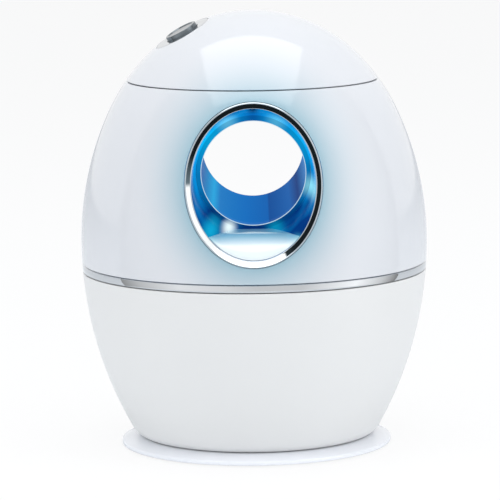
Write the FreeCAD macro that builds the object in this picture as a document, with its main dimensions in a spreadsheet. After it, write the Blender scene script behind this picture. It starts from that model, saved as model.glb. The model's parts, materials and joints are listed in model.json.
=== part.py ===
import FreeCAD, Part
import math
import os
import re
import Sketcher
from FreeCAD import Placement, Rotation, Vector

# Cool mist humidifier shaped like an egg with a see-through air tube.
# Millimetres, Z up, origin in the middle of the footprint, front towards -Y.

driving_sizes = {
    # egg outline: tangent arcs, from the base up to the crown
    "body_radius": 82.5,
    "widest_height": 98,
    "lower_arc": 182,
    "side_arc": 147,
    "shoulder_arc": 95,
    "side_angle": 25,
    "shoulder_angle": 46,
    "bottom_round": 8,
    "flange_step": 1,
    "egg_bottom": 5,
    "shell_wall": 2.4,
    "line_gap": 0.3,
    "slide_gap": 0.2,
    "moving_gap": 0.4,
    "cut_past": 1,
    "trim_margin": 5,
    "trim_reach": 30,
    "fixing_count": 4,
    # foot disc
    "base_radius": 64.6,
    "base_rim": 2,
    "base_slope_top": 56.5,
    "base_wall": 2.4,
    "base_ring_inner": 43,
    "rim_round": 0.8,
    "pad_stand": 0.8,
    "pad_radius": 5,
    "pad_depth": 1.2,
    "pad_circle": 56,
    "pad_gap": 0.1,
    "screw_circle": 48,
    "screw_radius": 1.4,
    "screw_bore_gap": 0.05,
    "screw_head_radius": 2.8,
    "screw_head_height": 1.8,
    "screw_head_depth": 0.4,
    "screw_length": 9,
    "boss_wall": 2.2,
    "boss_height": 9,
    # lower shell, tank and its deck
    "band_drop": 13.8,
    "band_height": 4.3,
    "band_wall": 2.2,
    "ledge_top": 32,
    "ledge_height": 2,
    "ledge_depth": 5,
    "tank_gap": 1,
    "tank_wall": 1.8,
    "tank_rim_drop": 1.2,
    "gasket_height": 1.4,
    "deck_thickness": 2.2,
    # wick and mist maker
    "mist_forward": 30,
    "wick_radius": 4.6,
    "wick_gap": 0.6,
    "holder_wall": 1.3,
    "holder_bottom": 36,
    "holder_flange": 10,
    "holder_flange_height": 1.4,
    "wick_slot_width": 3,
    "wick_slot_bottom": 40,
    "wick_slot_height": 30,
    "wick_slot_count": 4,
    "wick_bottom": 46,
    "spring_wire": 0.6,
    "wick_spring_radius": 3.6,
    "wick_spring_turns": 4,
    "disc_radius": 8,
    "disc_thickness": 0.6,
    "disc_opening": 6,
    "seal_lip": 0.8,
    # see-through tube and the air passage round it
    "tube_rise": 38,
    "tube_bore": 25.1,
    "tube_wall": 1.4,
    "tube_front": 49,
    "tube_rear": 66.5,
    "tube_lip_inset": 0.9,
    "tube_lip_length": 1.6,
    "tube_lip_round": 1.4,
    "air_slot": 0.9,
    "duct_gap": 7.9,
    "duct_wall": 1.6,
    "duct_front": 47,
    "duct_length": 52,
    "mist_bore": 9,
    "air_inlet_bore": 6.6,
    "air_inlet_forward": 7,
    # window, bezel, light bowl and sill
    "window_margin": 3.6,
    "window_low": 1.2,
    "window_high": 69.4,
    "bezel_width": 3.1,
    "bezel_proud": 0.6,
    "bezel_depth": 3.4,
    "bowl_wall": 1.6,
    "flange_thickness": 1.6,
    "sill_rise": 12,
    "sill_back": 49.6,
    "sill_flat": 62,
    # lights
    "light_board_gap": 1.9,
    "light_board_width": 2.6,
    "light_board_thickness": 1.2,
    "light_size": 2.2,
    "light_height": 1.1,
    "light_count": 8,
    # rear ring and intake grille
    "rear_ring_face": 2.4,
    "rear_ring_spread": 3.5,
    "rear_ring_proud": 0.5,
    "grille_half_width": 27,
    "grille_low": 6.5,
    "grille_gap": 2.5,
    "grille_slot": 2.2,
    "grille_pitch": 4.5,
    "grille_slots": 11,
    "grille_margin": 1.8,
    # blower
    "blower_back": 20,
    "blower_radius": 34,
    "blower_wall": 1.6,
    "blower_height": 14.4,
    "cover_thickness": 1.4,
    "cover_inlet": 13,
    "motor_radius": 11,
    "motor_height": 7,
    "shaft_radius": 1,
    "shaft_gap": 0.05,
    "shaft_grip": 0.02,
    "shaft_length": 10.4,
    "wheel_radius": 24,
    "wheel_plate": 1,
    "wheel_hub_gap": 0.8,
    "wheel_hub_wall": 1,
    "wheel_height": 9.4,
    "wheel_lift": 1.8,
    "blade_thickness": 0.9,
    "blade_inner": 14.5,
    "blade_sweep": 4,
    "blade_setback": 1,
    "blade_count": 24,
    # filling tray and pipe
    "lid_height": 32.96,
    "seam_gap": 0.4,
    "tray_gap": 0.11,
    "tray_wall": 1.8,
    "tray_depth": 4.2,
    "tray_floor_thickness": 1.6,
    "tray_step": 0.4,
    "pipe_side": 46,
    "pipe_back": 10,
    "pipe_bore": 6.6,
    "pipe_wall": 1.4,
    "pipe_dip": 3,
    "collar_wall": 1.6,
    "collar_height": 4.4,
    # lid and its push button
    "skirt_wall": 1.8,
    "skirt_drop": 3,
    "skirt_rise": 3.5,
    "button_turn": 10,
    "button_elevation": 61,
    "escutcheon_radius": 14,
    "escutcheon_thickness": 1,
    "escutcheon_gap": 0.15,
    "cup_bore": 8.3,
    "cup_wall": 1.2,
    "cup_depth": 9,
    "cap_proud": 2,
    "cap_skirt": 2,
    "cap_round": 0.7,
    "stem_radius": 2,
    "button_travel": 1.2,
    "press_gap": 0.2,
    "return_spring_radius": 4.6,
    "return_spring_turns": 3,
    "switch_drop": 18.57,
    "switch_size": 6,
    "switch_height": 3.5,
    "plunger_radius": 1.7,
    "plunger_height": 1.3,
    "bracket_radius": 5.5,
    # electronics in the bottom
    "board_width": 62,
    "board_depth": 40,
    "board_thickness": 1.6,
    "board_level": 15,
    "post_radius": 3,
    "post_inset": 5,
    "board_screw_radius": 1,
    "board_screw_head": 2.2,
    "board_screw_head_height": 1.2,
    "board_screw_length": 6,
    "jack_width": 9,
    "jack_height": 4,
    "jack_length": 13,
    "jack_mouth_width": 7.6,
    "jack_mouth_height": 2.4,
    "jack_mouth_depth": 7,
    "jack_arm_width": 14,
    "chip_size": 7,
    "chip_height": 1.2,
    "coil_radius": 4,
    "coil_height": 6,
    "capacitor_radius": 3.2,
    "capacitor_height": 9,
}

doc = FreeCAD.newDocument("cool_mist_humidifier")
sizes = doc.addObject("Spreadsheet::Sheet", "sizes")
for row, (name, size) in enumerate(driving_sizes.items(), 1):
    sizes.set(f"A{row}", name)
    sizes.set(f"B{row}", str(size))
    sizes.setAlias(f"B{row}", name)
doc.recompute()

size_word = re.compile(r"\b(" + "|".join(driving_sizes) + r")\b")


# ---- the egg's arcs: centre across, centre up, radius ----
shoulder_centre = "(body_radius - side_arc + (side_arc - shoulder_arc) * cos(side_angle))"
shoulder_level = "(widest_height + (side_arc - shoulder_arc) * sin(side_angle))"
crown_arc = f"(shoulder_arc + {shoulder_centre} / cos(shoulder_angle))"
crown_level = f"({shoulder_level} + (shoulder_arc - {crown_arc}) * sin(shoulder_angle))"
egg_arcs = {
    "lower": ("(body_radius - lower_arc)", "widest_height", "lower_arc"),
    "side": ("(body_radius - side_arc)", "widest_height", "side_arc"),
    "shoulder": (shoulder_centre, shoulder_level, "shoulder_arc"),
    "crown": ("0", crown_level, crown_arc),
}


def egg_radius(arc, height, inset="0"):
    across, up, radius = egg_arcs[arc]
    return f"({across} + sqrt(({radius} - ({inset}))^2 - (({height}) - {up})^2))"


# ---- sizes that follow others ----
button_level = f"sqrt({crown_arc}^2 - escutcheon_radius^2)"
following_sizes = {
    "band_bottom": "(widest_height - band_drop)",
    "tank_rim": "(band_bottom - tank_rim_drop)",
    "holder_bore": "(wick_radius + wick_gap)",
    "tube_height": "(widest_height + tube_rise)",
    "tube_lip_bore": "(tube_bore - tube_lip_inset)",
    "window_bottom": "(widest_height + window_low)",
    "window_top": "(widest_height + window_high)",
    "sill_level": "(widest_height + sill_rise)",
    "grille_bottom": "(widest_height - grille_low)",
    "rear_ring_flare": "(tube_bore + rear_ring_spread)",
    "rear_ring_radius": "(rear_ring_flare + rear_ring_face)",
    "grille_top": "(tube_height - rear_ring_radius - grille_gap)",
    "duct_radius": "(tube_bore + duct_gap)",
    "light_board_inner": "(tube_bore + tube_wall + light_board_gap)",
    "light_board_outer": "(light_board_inner + light_board_width)",
    "window_half_width": "(tube_bore + window_margin)",
    "lid_seam": f"({crown_level} + {crown_arc} - lid_height)",
    "skirt_top": "(lid_seam + skirt_rise)",
    "tray_rim": "(lid_seam - tray_step)",
    "tray_floor": "(tray_rim - tray_depth)",
    "tray_radius": "(" + egg_radius("shoulder", "lid_seam", "shell_wall") + " - tray_gap)",
    "switch_level": f"({button_level} - switch_drop)",
}
following_word = re.compile(r"\b(" + "|".join(following_sizes) + r")\b")


def spell_out(formula):
    while following_word.search(formula):
        formula = following_word.sub(lambda found: following_sizes[found[0]], formula)
    return formula


def number(formula):
    return float(sizes.evalExpression(spell_out(formula)))


def bind(thing, path, formula):
    thing.setExpression(path, size_word.sub(r"sizes.\1", spell_out(formula)))


def egg_joint(arc, angle, inset="0"):
    across, up, radius = egg_arcs[arc]
    reach = f"({radius} - ({inset}))"
    return f"({across} + {reach} * cos({angle}))", f"({up} + {reach} * sin({angle}))"


def inset_arc(arc, inset="0"):
    return f"({egg_arcs[arc][2]} - ({inset}))"


# ---- sketches ----
def new_body(label, turn="0", across="0", back="0", up="0"):
    body = doc.addObject("PartDesign::Body", label)
    body.Label = label
    body.AllowCompound = True
    if (turn, across, back, up) != ("0", "0", "0", "0"):
        bind(body, "Placement", f"placement(vector({across}; {back}; {up}); rotation({turn}; 0; 0))")
    return body


def origin_feature(body, role):
    return [feature for feature in body.Origin.OriginFeatures if feature.Role == role][0]


def new_sketch(body, name, role="XY_Plane", lift="0"):
    sketch = body.newObject("Sketcher::SketchObject", name)
    sketch.AttachmentSupport = [(origin_feature(body, role), "")]
    sketch.MapMode = "FlatFace"
    if lift != "0":
        bind(sketch, "AttachmentOffset.Base.z", lift)
    return sketch


def fix_point(sketch, geometry, end, across, up):
    for kind, formula, axis in (("DistanceX", across, -2), ("DistanceY", up, -1)):
        if formula == "0":
            sketch.addConstraint(Sketcher.Constraint("PointOnObject", geometry, end, axis))
        else:
            distance = Sketcher.Constraint(kind, -1, 1, geometry, end, number(formula))
            bind(sketch, f"Constraints[{sketch.addConstraint(distance)}]", formula)


def fix_size(sketch, kind, geometry, formula):
    size = Sketcher.Constraint(kind, geometry, number(formula))
    bind(sketch, f"Constraints[{sketch.addConstraint(size)}]", formula)


def arc_between(first, last, radius, side):
    # side +1 bulges to the right of the way from first to last, -1 to the left
    chord = last - first
    left = Vector(-chord.y, chord.x, 0).normalize()
    reach = math.sqrt(radius ** 2 - (chord.Length / 2) ** 2)
    centre = (first + last) * 0.5 + left * (side * reach)
    start, end = (first, last) if side > 0 else (last, first)
    start_angle = math.atan2(start.y - centre.y, start.x - centre.x)
    end_angle = math.atan2(end.y - centre.y, end.x - centre.x)
    if end_angle < start_angle:
        end_angle += 2 * math.pi
    return Part.ArcOfCircle(Part.Circle(centre, Vector(0, 0, 1), radius), start_angle, end_angle)


def draw_outline(sketch, corners, arcs=None):
    # a closed outline; arcs gives {edge number: (radius formula, side)}, the other edges are straight
    arcs = arcs or {}
    points = [Vector(number(across), number(up), 0) for across, up in corners]
    edges = []
    for edge, first in enumerate(points):
        last = points[(edge + 1) % len(points)]
        if edge in arcs:
            radius, side = arcs[edge]
            index = sketch.addGeometry(arc_between(first, last, number(radius), side), False)
            ends = (1, 2) if side > 0 else (2, 1)
        else:
            index = sketch.addGeometry(Part.LineSegment(first, last), False)
            ends = (1, 2)
        edges.append((index, ends))
    for edge, (index, ends) in enumerate(edges):
        following, following_ends = edges[(edge + 1) % len(edges)]
        sketch.addConstraint(
            Sketcher.Constraint("Coincident", index, ends[1], following, following_ends[0]))
    for edge, (index, ends) in enumerate(edges):
        fix_point(sketch, index, ends[0], *corners[edge])
        if edge in arcs:
            fix_size(sketch, "Radius", index, arcs[edge][0])


def draw_circle(sketch, radius, across="0", up="0"):
    centre = Vector(number(across), number(up), 0)
    index = sketch.addGeometry(Part.Circle(centre, Vector(0, 0, 1), number(radius)), False)
    fix_point(sketch, index, 3, across, up)
    fix_size(sketch, "Radius", index, radius)


def draw_ellipse(sketch, half_width, half_height, up):
    # an upright ellipse on the sketch's vertical axis
    centre = Vector(0, number(up), 0)
    top = centre + Vector(0, number(half_height), 0)
    right = centre + Vector(number(half_width), 0, 0)
    index = sketch.addGeometry(Part.Ellipse(top, right, centre), False)
    sketch.exposeInternalGeometry(index)
    fix_point(sketch, index, 3, "0", up)
    sketch.addConstraint(Sketcher.Constraint("Vertical", index + 1))
    fix_size(sketch, "Distance", index + 1, f"2 * ({half_height})")
    fix_size(sketch, "Distance", index + 2, f"2 * ({half_width})")


def draw_box(sketch, left, right, bottom, top):
    draw_outline(sketch, [(left, bottom), (right, bottom), (right, top), (left, top)])


def ring_corners(inner, outer, bottom, top):
    return [(inner, bottom), (outer, bottom), (outer, top), (inner, top)]


# ---- features ----
def add_feature(body, kind, name, sketch, **settings):
    feature = body.newObject("PartDesign::" + kind, name)
    feature.Profile = sketch
    for setting, value in settings.items():
        setattr(feature, setting, value)
    return feature


def check_cut(body, before):
    doc.recompute()
    if not body.Shape.Volume < before - 1e-3:
        raise RuntimeError(f"{body.Label}: a cut removed nothing")


def revolve(body, name, corners, arcs=None, role="XZ_Plane", axis="V_Axis", cut=False):
    sketch = new_sketch(body, name + "_outline", role)
    draw_outline(sketch, corners, arcs)
    kind = "Groove" if cut else "Revolution"
    before = body.Shape.Volume if cut else 0
    feature = add_feature(body, kind, name, sketch, ReferenceAxis=(sketch, [axis]), Angle=360)
    if cut:
        check_cut(body, before)
    return feature


def pad(body, name, sketch, length):
    feature = add_feature(body, "Pad", name, sketch)
    bind(feature, "Length", length)
    return feature


def pocket(body, name, sketch, depth):
    # cuts from the sketch backwards, against the sketch's normal
    doc.recompute()
    before = body.Shape.Volume
    feature = add_feature(body, "Pocket", name, sketch)
    bind(feature, "Length", depth)
    check_cut(body, before)
    return feature


def repeat_round(body, name, feature, count):
    doc.recompute()
    before = body.Shape.Volume
    pattern = body.newObject("PartDesign::PolarPattern", name)
    pattern.Originals = [feature]
    pattern.Axis = (origin_feature(body, "Z_Axis"), [""])
    pattern.Angle = 360
    bind(pattern, "Occurrences", count)
    body.Tip = pattern
    doc.recompute()
    if abs(body.Shape.Volume - before) < 1e-3:
        raise RuntimeError(f"{body.Label}: the pattern changed nothing")
    return pattern


def repeat_line(body, name, feature, sketch, length, count):
    doc.recompute()
    pattern = body.newObject("PartDesign::LinearPattern", name)
    pattern.Originals = [feature]
    pattern.Direction = (sketch, ["H_Axis"])
    bind(pattern, "Length", length)
    bind(pattern, "Occurrences", count)
    body.Tip = pattern
    doc.recompute()
    return pattern


def plain_ring(label, inner, outer, bottom, top, **place):
    body = new_body(label, **place)
    revolve(body, "ring", ring_corners(inner, outer, bottom, top))
    return body


diagonal = "cos(45)"

# ---- foot disc, its pads and screws ----
base_foot = new_body("base_foot")
revolve(base_foot, "disc", [
    ("0", "egg_bottom - base_wall"),
    ("base_ring_inner", "egg_bottom - base_wall"),
    ("base_ring_inner", "pad_stand"),
    ("base_radius - rim_round", "pad_stand"),
    ("base_radius", "pad_stand + rim_round"),
    ("base_radius", "pad_stand + base_rim - rim_round"),
    ("base_radius - rim_round", "pad_stand + base_rim"),
    ("base_slope_top", "egg_bottom"),
    ("0", "egg_bottom"),
], {3: ("rim_round", 1), 5: ("rim_round", 1)})
pad_hole = new_sketch(base_foot, "pad_recess_outline", lift="pad_stand + pad_depth")
draw_circle(pad_hole, "pad_radius + pad_gap", f"pad_circle * {diagonal}", f"pad_circle * {diagonal}")
pad_recess = pocket(base_foot, "pad_recess", pad_hole, "pad_depth + cut_past")
repeat_round(base_foot, "pad_recesses", pad_recess, "fixing_count")
screw_hole = new_sketch(base_foot, "screw_hole_outline", lift="egg_bottom + cut_past")
draw_circle(screw_hole, "screw_radius + slide_gap", "screw_circle")
screw_bore = pocket(base_foot, "screw_bore", screw_hole, "egg_bottom + 2 * cut_past")
repeat_round(base_foot, "screw_bores", screw_bore, "fixing_count")
head_top = "(pad_stand + screw_head_depth + screw_head_height)"
head_hole = new_sketch(base_foot, "head_hole_outline", lift=head_top)
draw_circle(head_hole, "screw_head_radius + slide_gap", "screw_circle")
head_bore = pocket(base_foot, "head_bore", head_hole, "screw_head_height + cut_past")
repeat_round(base_foot, "head_bores", head_bore, "fixing_count")
post_across = "(board_width / 2 - post_inset)"
post_along = "(board_depth / 2 - post_inset)"
posts = new_sketch(base_foot, "posts_outline", lift="egg_bottom - cut_past")
for side in (f"{post_across}", f"-{post_across}"):
    for end in (f"{post_along}", f"-{post_along}"):
        draw_circle(posts, "post_radius", side, end)
        draw_circle(posts, "board_screw_radius + screw_bore_gap", side, end)
pad(base_foot, "posts", posts, "board_level - egg_bottom + cut_past")

foot_pads = new_body("foot_pads")
pad_sketch = new_sketch(foot_pads, "pad_outline")
draw_circle(pad_sketch, "pad_radius", f"pad_circle * {diagonal}", f"pad_circle * {diagonal}")
foot_pad = pad(foot_pads, "foot_pad", pad_sketch, "pad_stand + pad_depth")
repeat_round(foot_pads, "pads", foot_pad, "fixing_count")


def round_screws(label, centre, radius, head_radius, head_bottom, head_height, length, count):
    # screws that point up, heads below
    body = new_body(label)
    head = new_sketch(body, "head_outline", lift=head_bottom)
    draw_circle(head, head_radius, centre)
    first = pad(body, "head", head, head_height)
    shank = new_sketch(body, "shank_outline", lift=f"{head_bottom} + {head_height}")
    draw_circle(shank, radius, centre)
    second = pad(body, "shank", shank, f"{length} - {head_height}")
    pattern = repeat_round(body, "screws", first, count)
    pattern.Originals = [first, second]
    return body


round_screws("base_screws", "screw_circle", "screw_radius", "screw_head_radius",
                           "(pad_stand + screw_head_depth)", "screw_head_height", "screw_length", "fixing_count")

# ---- lower shell ----
board_top = "(board_level + board_thickness)"
jack_level = f"({board_top} + jack_height / 2)"
jack_reach = f"({egg_radius('lower', board_top)} - slide_gap)"
corner_level = "(egg_bottom + bottom_round)"
corner_drop = f"(widest_height - {corner_level})"
corner_centre = f"(body_radius - lower_arc + sqrt((lower_arc - bottom_round)^2 - {corner_drop}^2))"
corner_sine = f"({corner_drop} / (lower_arc - bottom_round))"
corner_cosine = f"sqrt(1 - {corner_sine}^2)"


def corner_end(radius):
    return (f"{corner_centre} + ({radius}) * {corner_cosine}",
            f"{corner_level} - ({radius}) * {corner_sine}")


ledge_outer = egg_radius("lower", "ledge_top", "shell_wall / 2")
lower_shell = new_body("lower_shell")
inner_round = "(bottom_round - shell_wall)"
revolve(lower_shell, "bowl", [
    (corner_centre, "egg_bottom"),
    corner_end("bottom_round"),
    (egg_radius("lower", "band_bottom"), "band_bottom"),
    (egg_radius("lower", "band_bottom", "shell_wall"), "band_bottom"),
    corner_end(inner_round),
    (corner_centre, "egg_bottom + shell_wall"),
    ("base_ring_inner + flange_step", "egg_bottom + shell_wall"),
    ("base_ring_inner + flange_step", "egg_bottom"),
], {0: ("bottom_round", 1), 1: ("lower_arc", 1), 3: ("lower_arc - shell_wall", -1), 4: (inner_round, -1)})
revolve(lower_shell, "ledge", [
    (egg_radius("lower", "ledge_top", "shell_wall + tank_gap + ledge_depth"), "ledge_top - ledge_height"),
    (egg_radius("lower", "ledge_top - ledge_height", "shell_wall / 2"), "ledge_top - ledge_height"),
    (ledge_outer, "ledge_top"),
    (egg_radius("lower", "ledge_top", "shell_wall + tank_gap + ledge_depth"), "ledge_top"),
])
boss_sketch = new_sketch(lower_shell, "boss_outline", lift="egg_bottom + shell_wall / 2")
draw_circle(boss_sketch, "screw_radius + boss_wall", "screw_circle")
boss = pad(lower_shell, "boss", boss_sketch, "boss_height - shell_wall / 2")
repeat_round(lower_shell, "bosses", boss, "fixing_count")
boss_hole = new_sketch(lower_shell, "boss_bore_outline", lift="egg_bottom + boss_height + cut_past")
draw_circle(boss_hole, "screw_radius + screw_bore_gap", "screw_circle")
boss_bore = pocket(lower_shell, "boss_bore", boss_hole, "boss_height + 2 * cut_past")
repeat_round(lower_shell, "boss_bores", boss_bore, "fixing_count")
# the power inlet's hole in the back
jack_hole = new_sketch(lower_shell, "jack_hole_outline", "XZ_Plane", "-base_ring_inner")
draw_box(jack_hole, "-jack_width / 2 - slide_gap", "jack_width / 2 + slide_gap",
         f"{jack_level} - jack_height / 2 - slide_gap", f"{jack_level} + jack_height / 2 + slide_gap")
pocket(lower_shell, "jack_hole", jack_hole, "body_radius - base_ring_inner")

# ---- chrome trim band between the shells ----
band_low = "(band_bottom + line_gap)"
band_high = "(band_bottom + band_height - line_gap)"
trim_band = new_body("trim_band")
revolve(trim_band, "band", [
    (egg_radius("lower", band_low), band_low),
    (egg_radius("lower", band_high), band_high),
    (egg_radius("lower", band_high, "band_wall"), band_high),
    (egg_radius("lower", band_low, "band_wall"), band_low),
], {0: ("lower_arc", 1), 2: ("lower_arc - band_wall", -1)})

# ---- water tank, gasket and deck ----
tank_inset = "(shell_wall + tank_gap)"
tank_inner = "(shell_wall + tank_gap + tank_wall)"
tank_floor = "(ledge_top + tank_wall)"
water_tank = new_body("water_tank")
revolve(water_tank, "tank", [
    ("0", "ledge_top"),
    (egg_radius("lower", "ledge_top", tank_inset), "ledge_top"),
    (egg_radius("lower", "tank_rim", tank_inset), "tank_rim"),
    (egg_radius("lower", "tank_rim", tank_inner), "tank_rim"),
    (egg_radius("lower", tank_floor, tank_inner), tank_floor),
    ("0", tank_floor),
], {1: (f"lower_arc - {tank_inset}", 1), 3: (f"lower_arc - {tank_inner}", -1)})
deck_bottom = "(tank_rim + gasket_height)"
deck_top = f"({deck_bottom} + deck_thickness)"
plain_ring("tank_gasket", egg_radius("lower", "tank_rim", tank_inner),
                         egg_radius("lower", "tank_rim", tank_inset), "tank_rim", deck_bottom)
deck_radius = f"({egg_radius('lower', 'band_bottom', 'shell_wall')} - slide_gap)"
tank_deck = new_body("tank_deck")
deck_sketch = new_sketch(tank_deck, "deck_outline", lift=deck_bottom)
draw_circle(deck_sketch, deck_radius)
draw_circle(deck_sketch, "holder_bore + holder_wall + slide_gap", "0", "-mist_forward")
draw_circle(deck_sketch, "pipe_bore + pipe_wall + slide_gap", "pipe_side", "pipe_back")
pad(tank_deck, "deck", deck_sketch, "deck_thickness")

# ---- wick and mist maker ----
holder_outer = "(holder_bore + holder_wall)"
flange_top = f"({deck_top} + holder_flange_height)"
wick_holder = new_body("wick_holder", back="-mist_forward")
revolve(wick_holder, "tube", [
    ("0", "holder_bottom"),
    (holder_outer, "holder_bottom"),
    (holder_outer, deck_top),
    ("holder_flange", deck_top),
    ("holder_flange", flange_top),
    ("holder_bore", flange_top),
    ("holder_bore", "holder_bottom + holder_wall"),
    ("0", "holder_bottom + holder_wall"),
])
slot_sketch = new_sketch(wick_holder, "slot_outline", "XZ_Plane", "holder_bore + holder_wall + cut_past")
draw_box(slot_sketch, "-wick_slot_width / 2", "wick_slot_width / 2",
         "wick_slot_bottom", "wick_slot_bottom + wick_slot_height")
wick_slot = pocket(wick_holder, "slot", slot_sketch, "holder_bore + holder_wall + cut_past")
repeat_round(wick_holder, "slots", wick_slot, "wick_slot_count")


def coil_spring(label, radius, bottom, top, turns, body):
    sketch = new_sketch(body, "wire_outline", "XZ_Plane")
    draw_circle(sketch, "spring_wire / 2", radius, f"{bottom} + spring_wire / 2 + pad_gap")
    coil = add_feature(body, "AdditiveHelix", "coil", sketch)
    coil.Mode = "height-turns-angle"
    coil.ReferenceAxis = (sketch, ["V_Axis"])
    bind(coil, "Height", f"{top} - ({bottom}) - spring_wire - 2 * pad_gap")
    bind(coil, "Turns", turns)
    return body


coil_spring("wick_spring", "wick_spring_radius", "holder_bottom + holder_wall", "wick_bottom",
                          "wick_spring_turns", new_body("wick_spring", back="-mist_forward"))
disc_bottom = f"({flange_top} + seal_lip)"
wick = new_body("wick", back="-mist_forward")
wick_sketch = new_sketch(wick, "wick_outline", lift="wick_bottom")
draw_circle(wick_sketch, "wick_radius")
pad(wick, "rod", wick_sketch, f"{disc_bottom} - wick_bottom")
atomizer_disc = new_body("atomizer_disc", back="-mist_forward")
disc_sketch = new_sketch(atomizer_disc, "disc_outline", lift=disc_bottom)
draw_circle(disc_sketch, "disc_radius")
pad(atomizer_disc, "disc", disc_sketch, "disc_thickness")
seal_top = f"({disc_bottom} + disc_thickness + seal_lip)"
atomizer_seal = new_body("atomizer_seal", back="-mist_forward")
revolve(atomizer_seal, "seal", [
    ("disc_opening", flange_top),
    ("holder_flange", flange_top),
    ("holder_flange", seal_top),
    ("disc_opening", seal_top),
    ("disc_opening", f"{disc_bottom} + disc_thickness + shaft_grip"),
    ("disc_radius + pad_gap", f"{disc_bottom} + disc_thickness + shaft_grip"),
    ("disc_radius + pad_gap", disc_bottom),
    ("disc_opening", disc_bottom),
])

# ---- see-through tube: the body's X axis is the tube's axis, pointing forward ----
front = {"turn": "-90"}
front_axis = {"turn": "-90", "up": "tube_height"}
tube_outer = "(tube_bore + tube_wall)"
throat = f"({tube_outer} + air_slot)"
air_tube = new_body("air_tube", **front_axis)
revolve(air_tube, "tube", [
    ("-tube_rear", "tube_bore"),
    ("-tube_rear", tube_outer),
    ("tube_front", tube_outer),
    ("tube_front", "tube_lip_bore"),
    ("tube_front - tube_lip_length", "tube_lip_bore"),
    ("tube_front - 2 * tube_lip_length", "tube_bore"),
], {2: ("tube_lip_round", -1)}, axis="H_Axis")

# ---- air duct round the tube's front half, with inlets for mist and air ----
duct_back = "(duct_front - duct_length)"
air_duct = new_body("air_duct", **front_axis)
revolve(air_duct, "drum", [
    (duct_back, f"{tube_outer} + slide_gap"),
    (duct_back, "duct_radius"),
    ("duct_front", "duct_radius"),
    ("duct_front", "duct_radius - duct_wall"),
    (f"{duct_back} + duct_wall", "duct_radius - duct_wall"),
    (f"{duct_back} + duct_wall", f"{tube_outer} + slide_gap"),
], axis="H_Axis")
stub_root = "(tube_height - duct_radius + 3 * duct_wall)"
cover_top = f"({deck_top} + blower_height + cover_thickness)"
for name, forward, bore, bottom in (("mist", "mist_forward", "mist_bore", seal_top),
                                    ("air", "air_inlet_forward", "air_inlet_bore", cover_top)):
    stub = new_sketch(air_duct, name + "_stub_outline", lift=f"{bottom} - tube_height")
    draw_circle(stub, f"{bore} + duct_wall", forward)
    draw_circle(stub, bore, forward)
    rise = f"sqrt(duct_radius^2 - {bore}^2)"
    pad(air_duct, name + "_stub", stub, f"tube_height - {rise} + duct_wall / 2 - {bottom}")
    hole = new_sketch(air_duct, name + "_hole_outline", lift=f"{stub_root} - tube_height")
    draw_circle(hole, bore, forward)
    pocket(air_duct, name + "_hole", hole, f"{stub_root} - {bottom}")

# ---- window: an upright ellipse seen from the front, on the leaning face of the egg ----
window_middle = "((window_top + window_bottom) / 2)"
window_half_height = "((window_top - window_bottom) / 2)"
outside = "(body_radius + trim_margin)"
far = "(body_radius + trim_reach)"
near = "(body_radius / 3)"


def egg_side(inset, edge):
    # the region between an upright edge line and the egg's side at an inset
    low = "(band_bottom + band_height)"
    high = "(lid_seam - cut_past)"
    corners = [
        (egg_radius("lower", low, inset), low),
        (f"body_radius - ({inset})", "widest_height"),
        egg_joint("side", "side_angle", inset),
        (egg_radius("shoulder", high, inset), high),
        (edge, high),
        (edge, low),
    ]
    return corners, {0: (inset_arc("lower", inset), 1), 1: (inset_arc("side", inset), 1),
                     2: (inset_arc("shoulder", inset), 1)}


window_bezel = new_body("window_bezel", **front)
bezel_sketch = new_sketch(window_bezel, "ring_outline", "YZ_Plane", "body_radius / 2")
draw_ellipse(bezel_sketch, "window_half_width + bezel_width", f"{window_half_height} + bezel_width", window_middle)
draw_ellipse(bezel_sketch, "window_half_width", window_half_height, window_middle)
pad(window_bezel, "ring", bezel_sketch, f"{outside} - body_radius / 2")
doc.recompute()
revolve(window_bezel, "outer_face", *egg_side("-bezel_proud", far), cut=True)
revolve(window_bezel, "back_face", *egg_side("bezel_depth", near), cut=True)

window_top_reach = egg_radius("shoulder", "window_top")
window_bottom_reach = egg_radius("side", "window_bottom")
behind_bezel = "(bezel_depth + pad_gap)"
window_reach = f"(({window_top_reach} + {window_bottom_reach}) / 2)"
window_lean = f"atan(({window_bottom_reach} - {window_top_reach}) / (window_top - window_bottom))"


def funnel(body, kind, name, growth, back):
    # from a round throat at the tube's mouth to the leaning ellipse behind the bezel
    round_end = new_sketch(body, name + "_throat", "YZ_Plane", back)
    draw_circle(round_end, f"{throat} + {growth}", "0", "tube_height")
    oval_end = body.newObject("Sketcher::SketchObject", name + "_mouth")
    oval_end.AttachmentSupport = [(origin_feature(body, "YZ_Plane"), "")]
    oval_end.MapMode = "FlatFace"
    bind(oval_end, "AttachmentOffset",
         f"placement(vector(0; {window_middle}; {window_reach}); rotation(0; 0; -{window_lean}))")
    draw_ellipse(oval_end, f"window_half_width + {growth}",
                 f"{window_half_height} / cos({window_lean}) + {growth}", "0")
    doc.recompute()
    cuts = kind == "SubtractiveLoft"
    before = body.Shape.Volume if cuts else 0
    loft = add_feature(body, kind, name, round_end, Sections=[oval_end])
    if cuts:
        check_cut(body, before)
    doc.recompute()
    return loft


light_bowl = new_body("light_bowl", **front)
funnel(light_bowl, "AdditiveLoft", "outside", "bowl_wall", "duct_front")
flange_sketch = new_sketch(light_bowl, "flange_outline", "YZ_Plane", "duct_front")
draw_circle(flange_sketch, "duct_radius", "0", "tube_height")
pad(light_bowl, "flange", flange_sketch, "flange_thickness")
funnel(light_bowl, "SubtractiveLoft", "inside", "0", "duct_front")
revolve(light_bowl, "front_edge", *egg_side(behind_bezel, far), cut=True)

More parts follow.
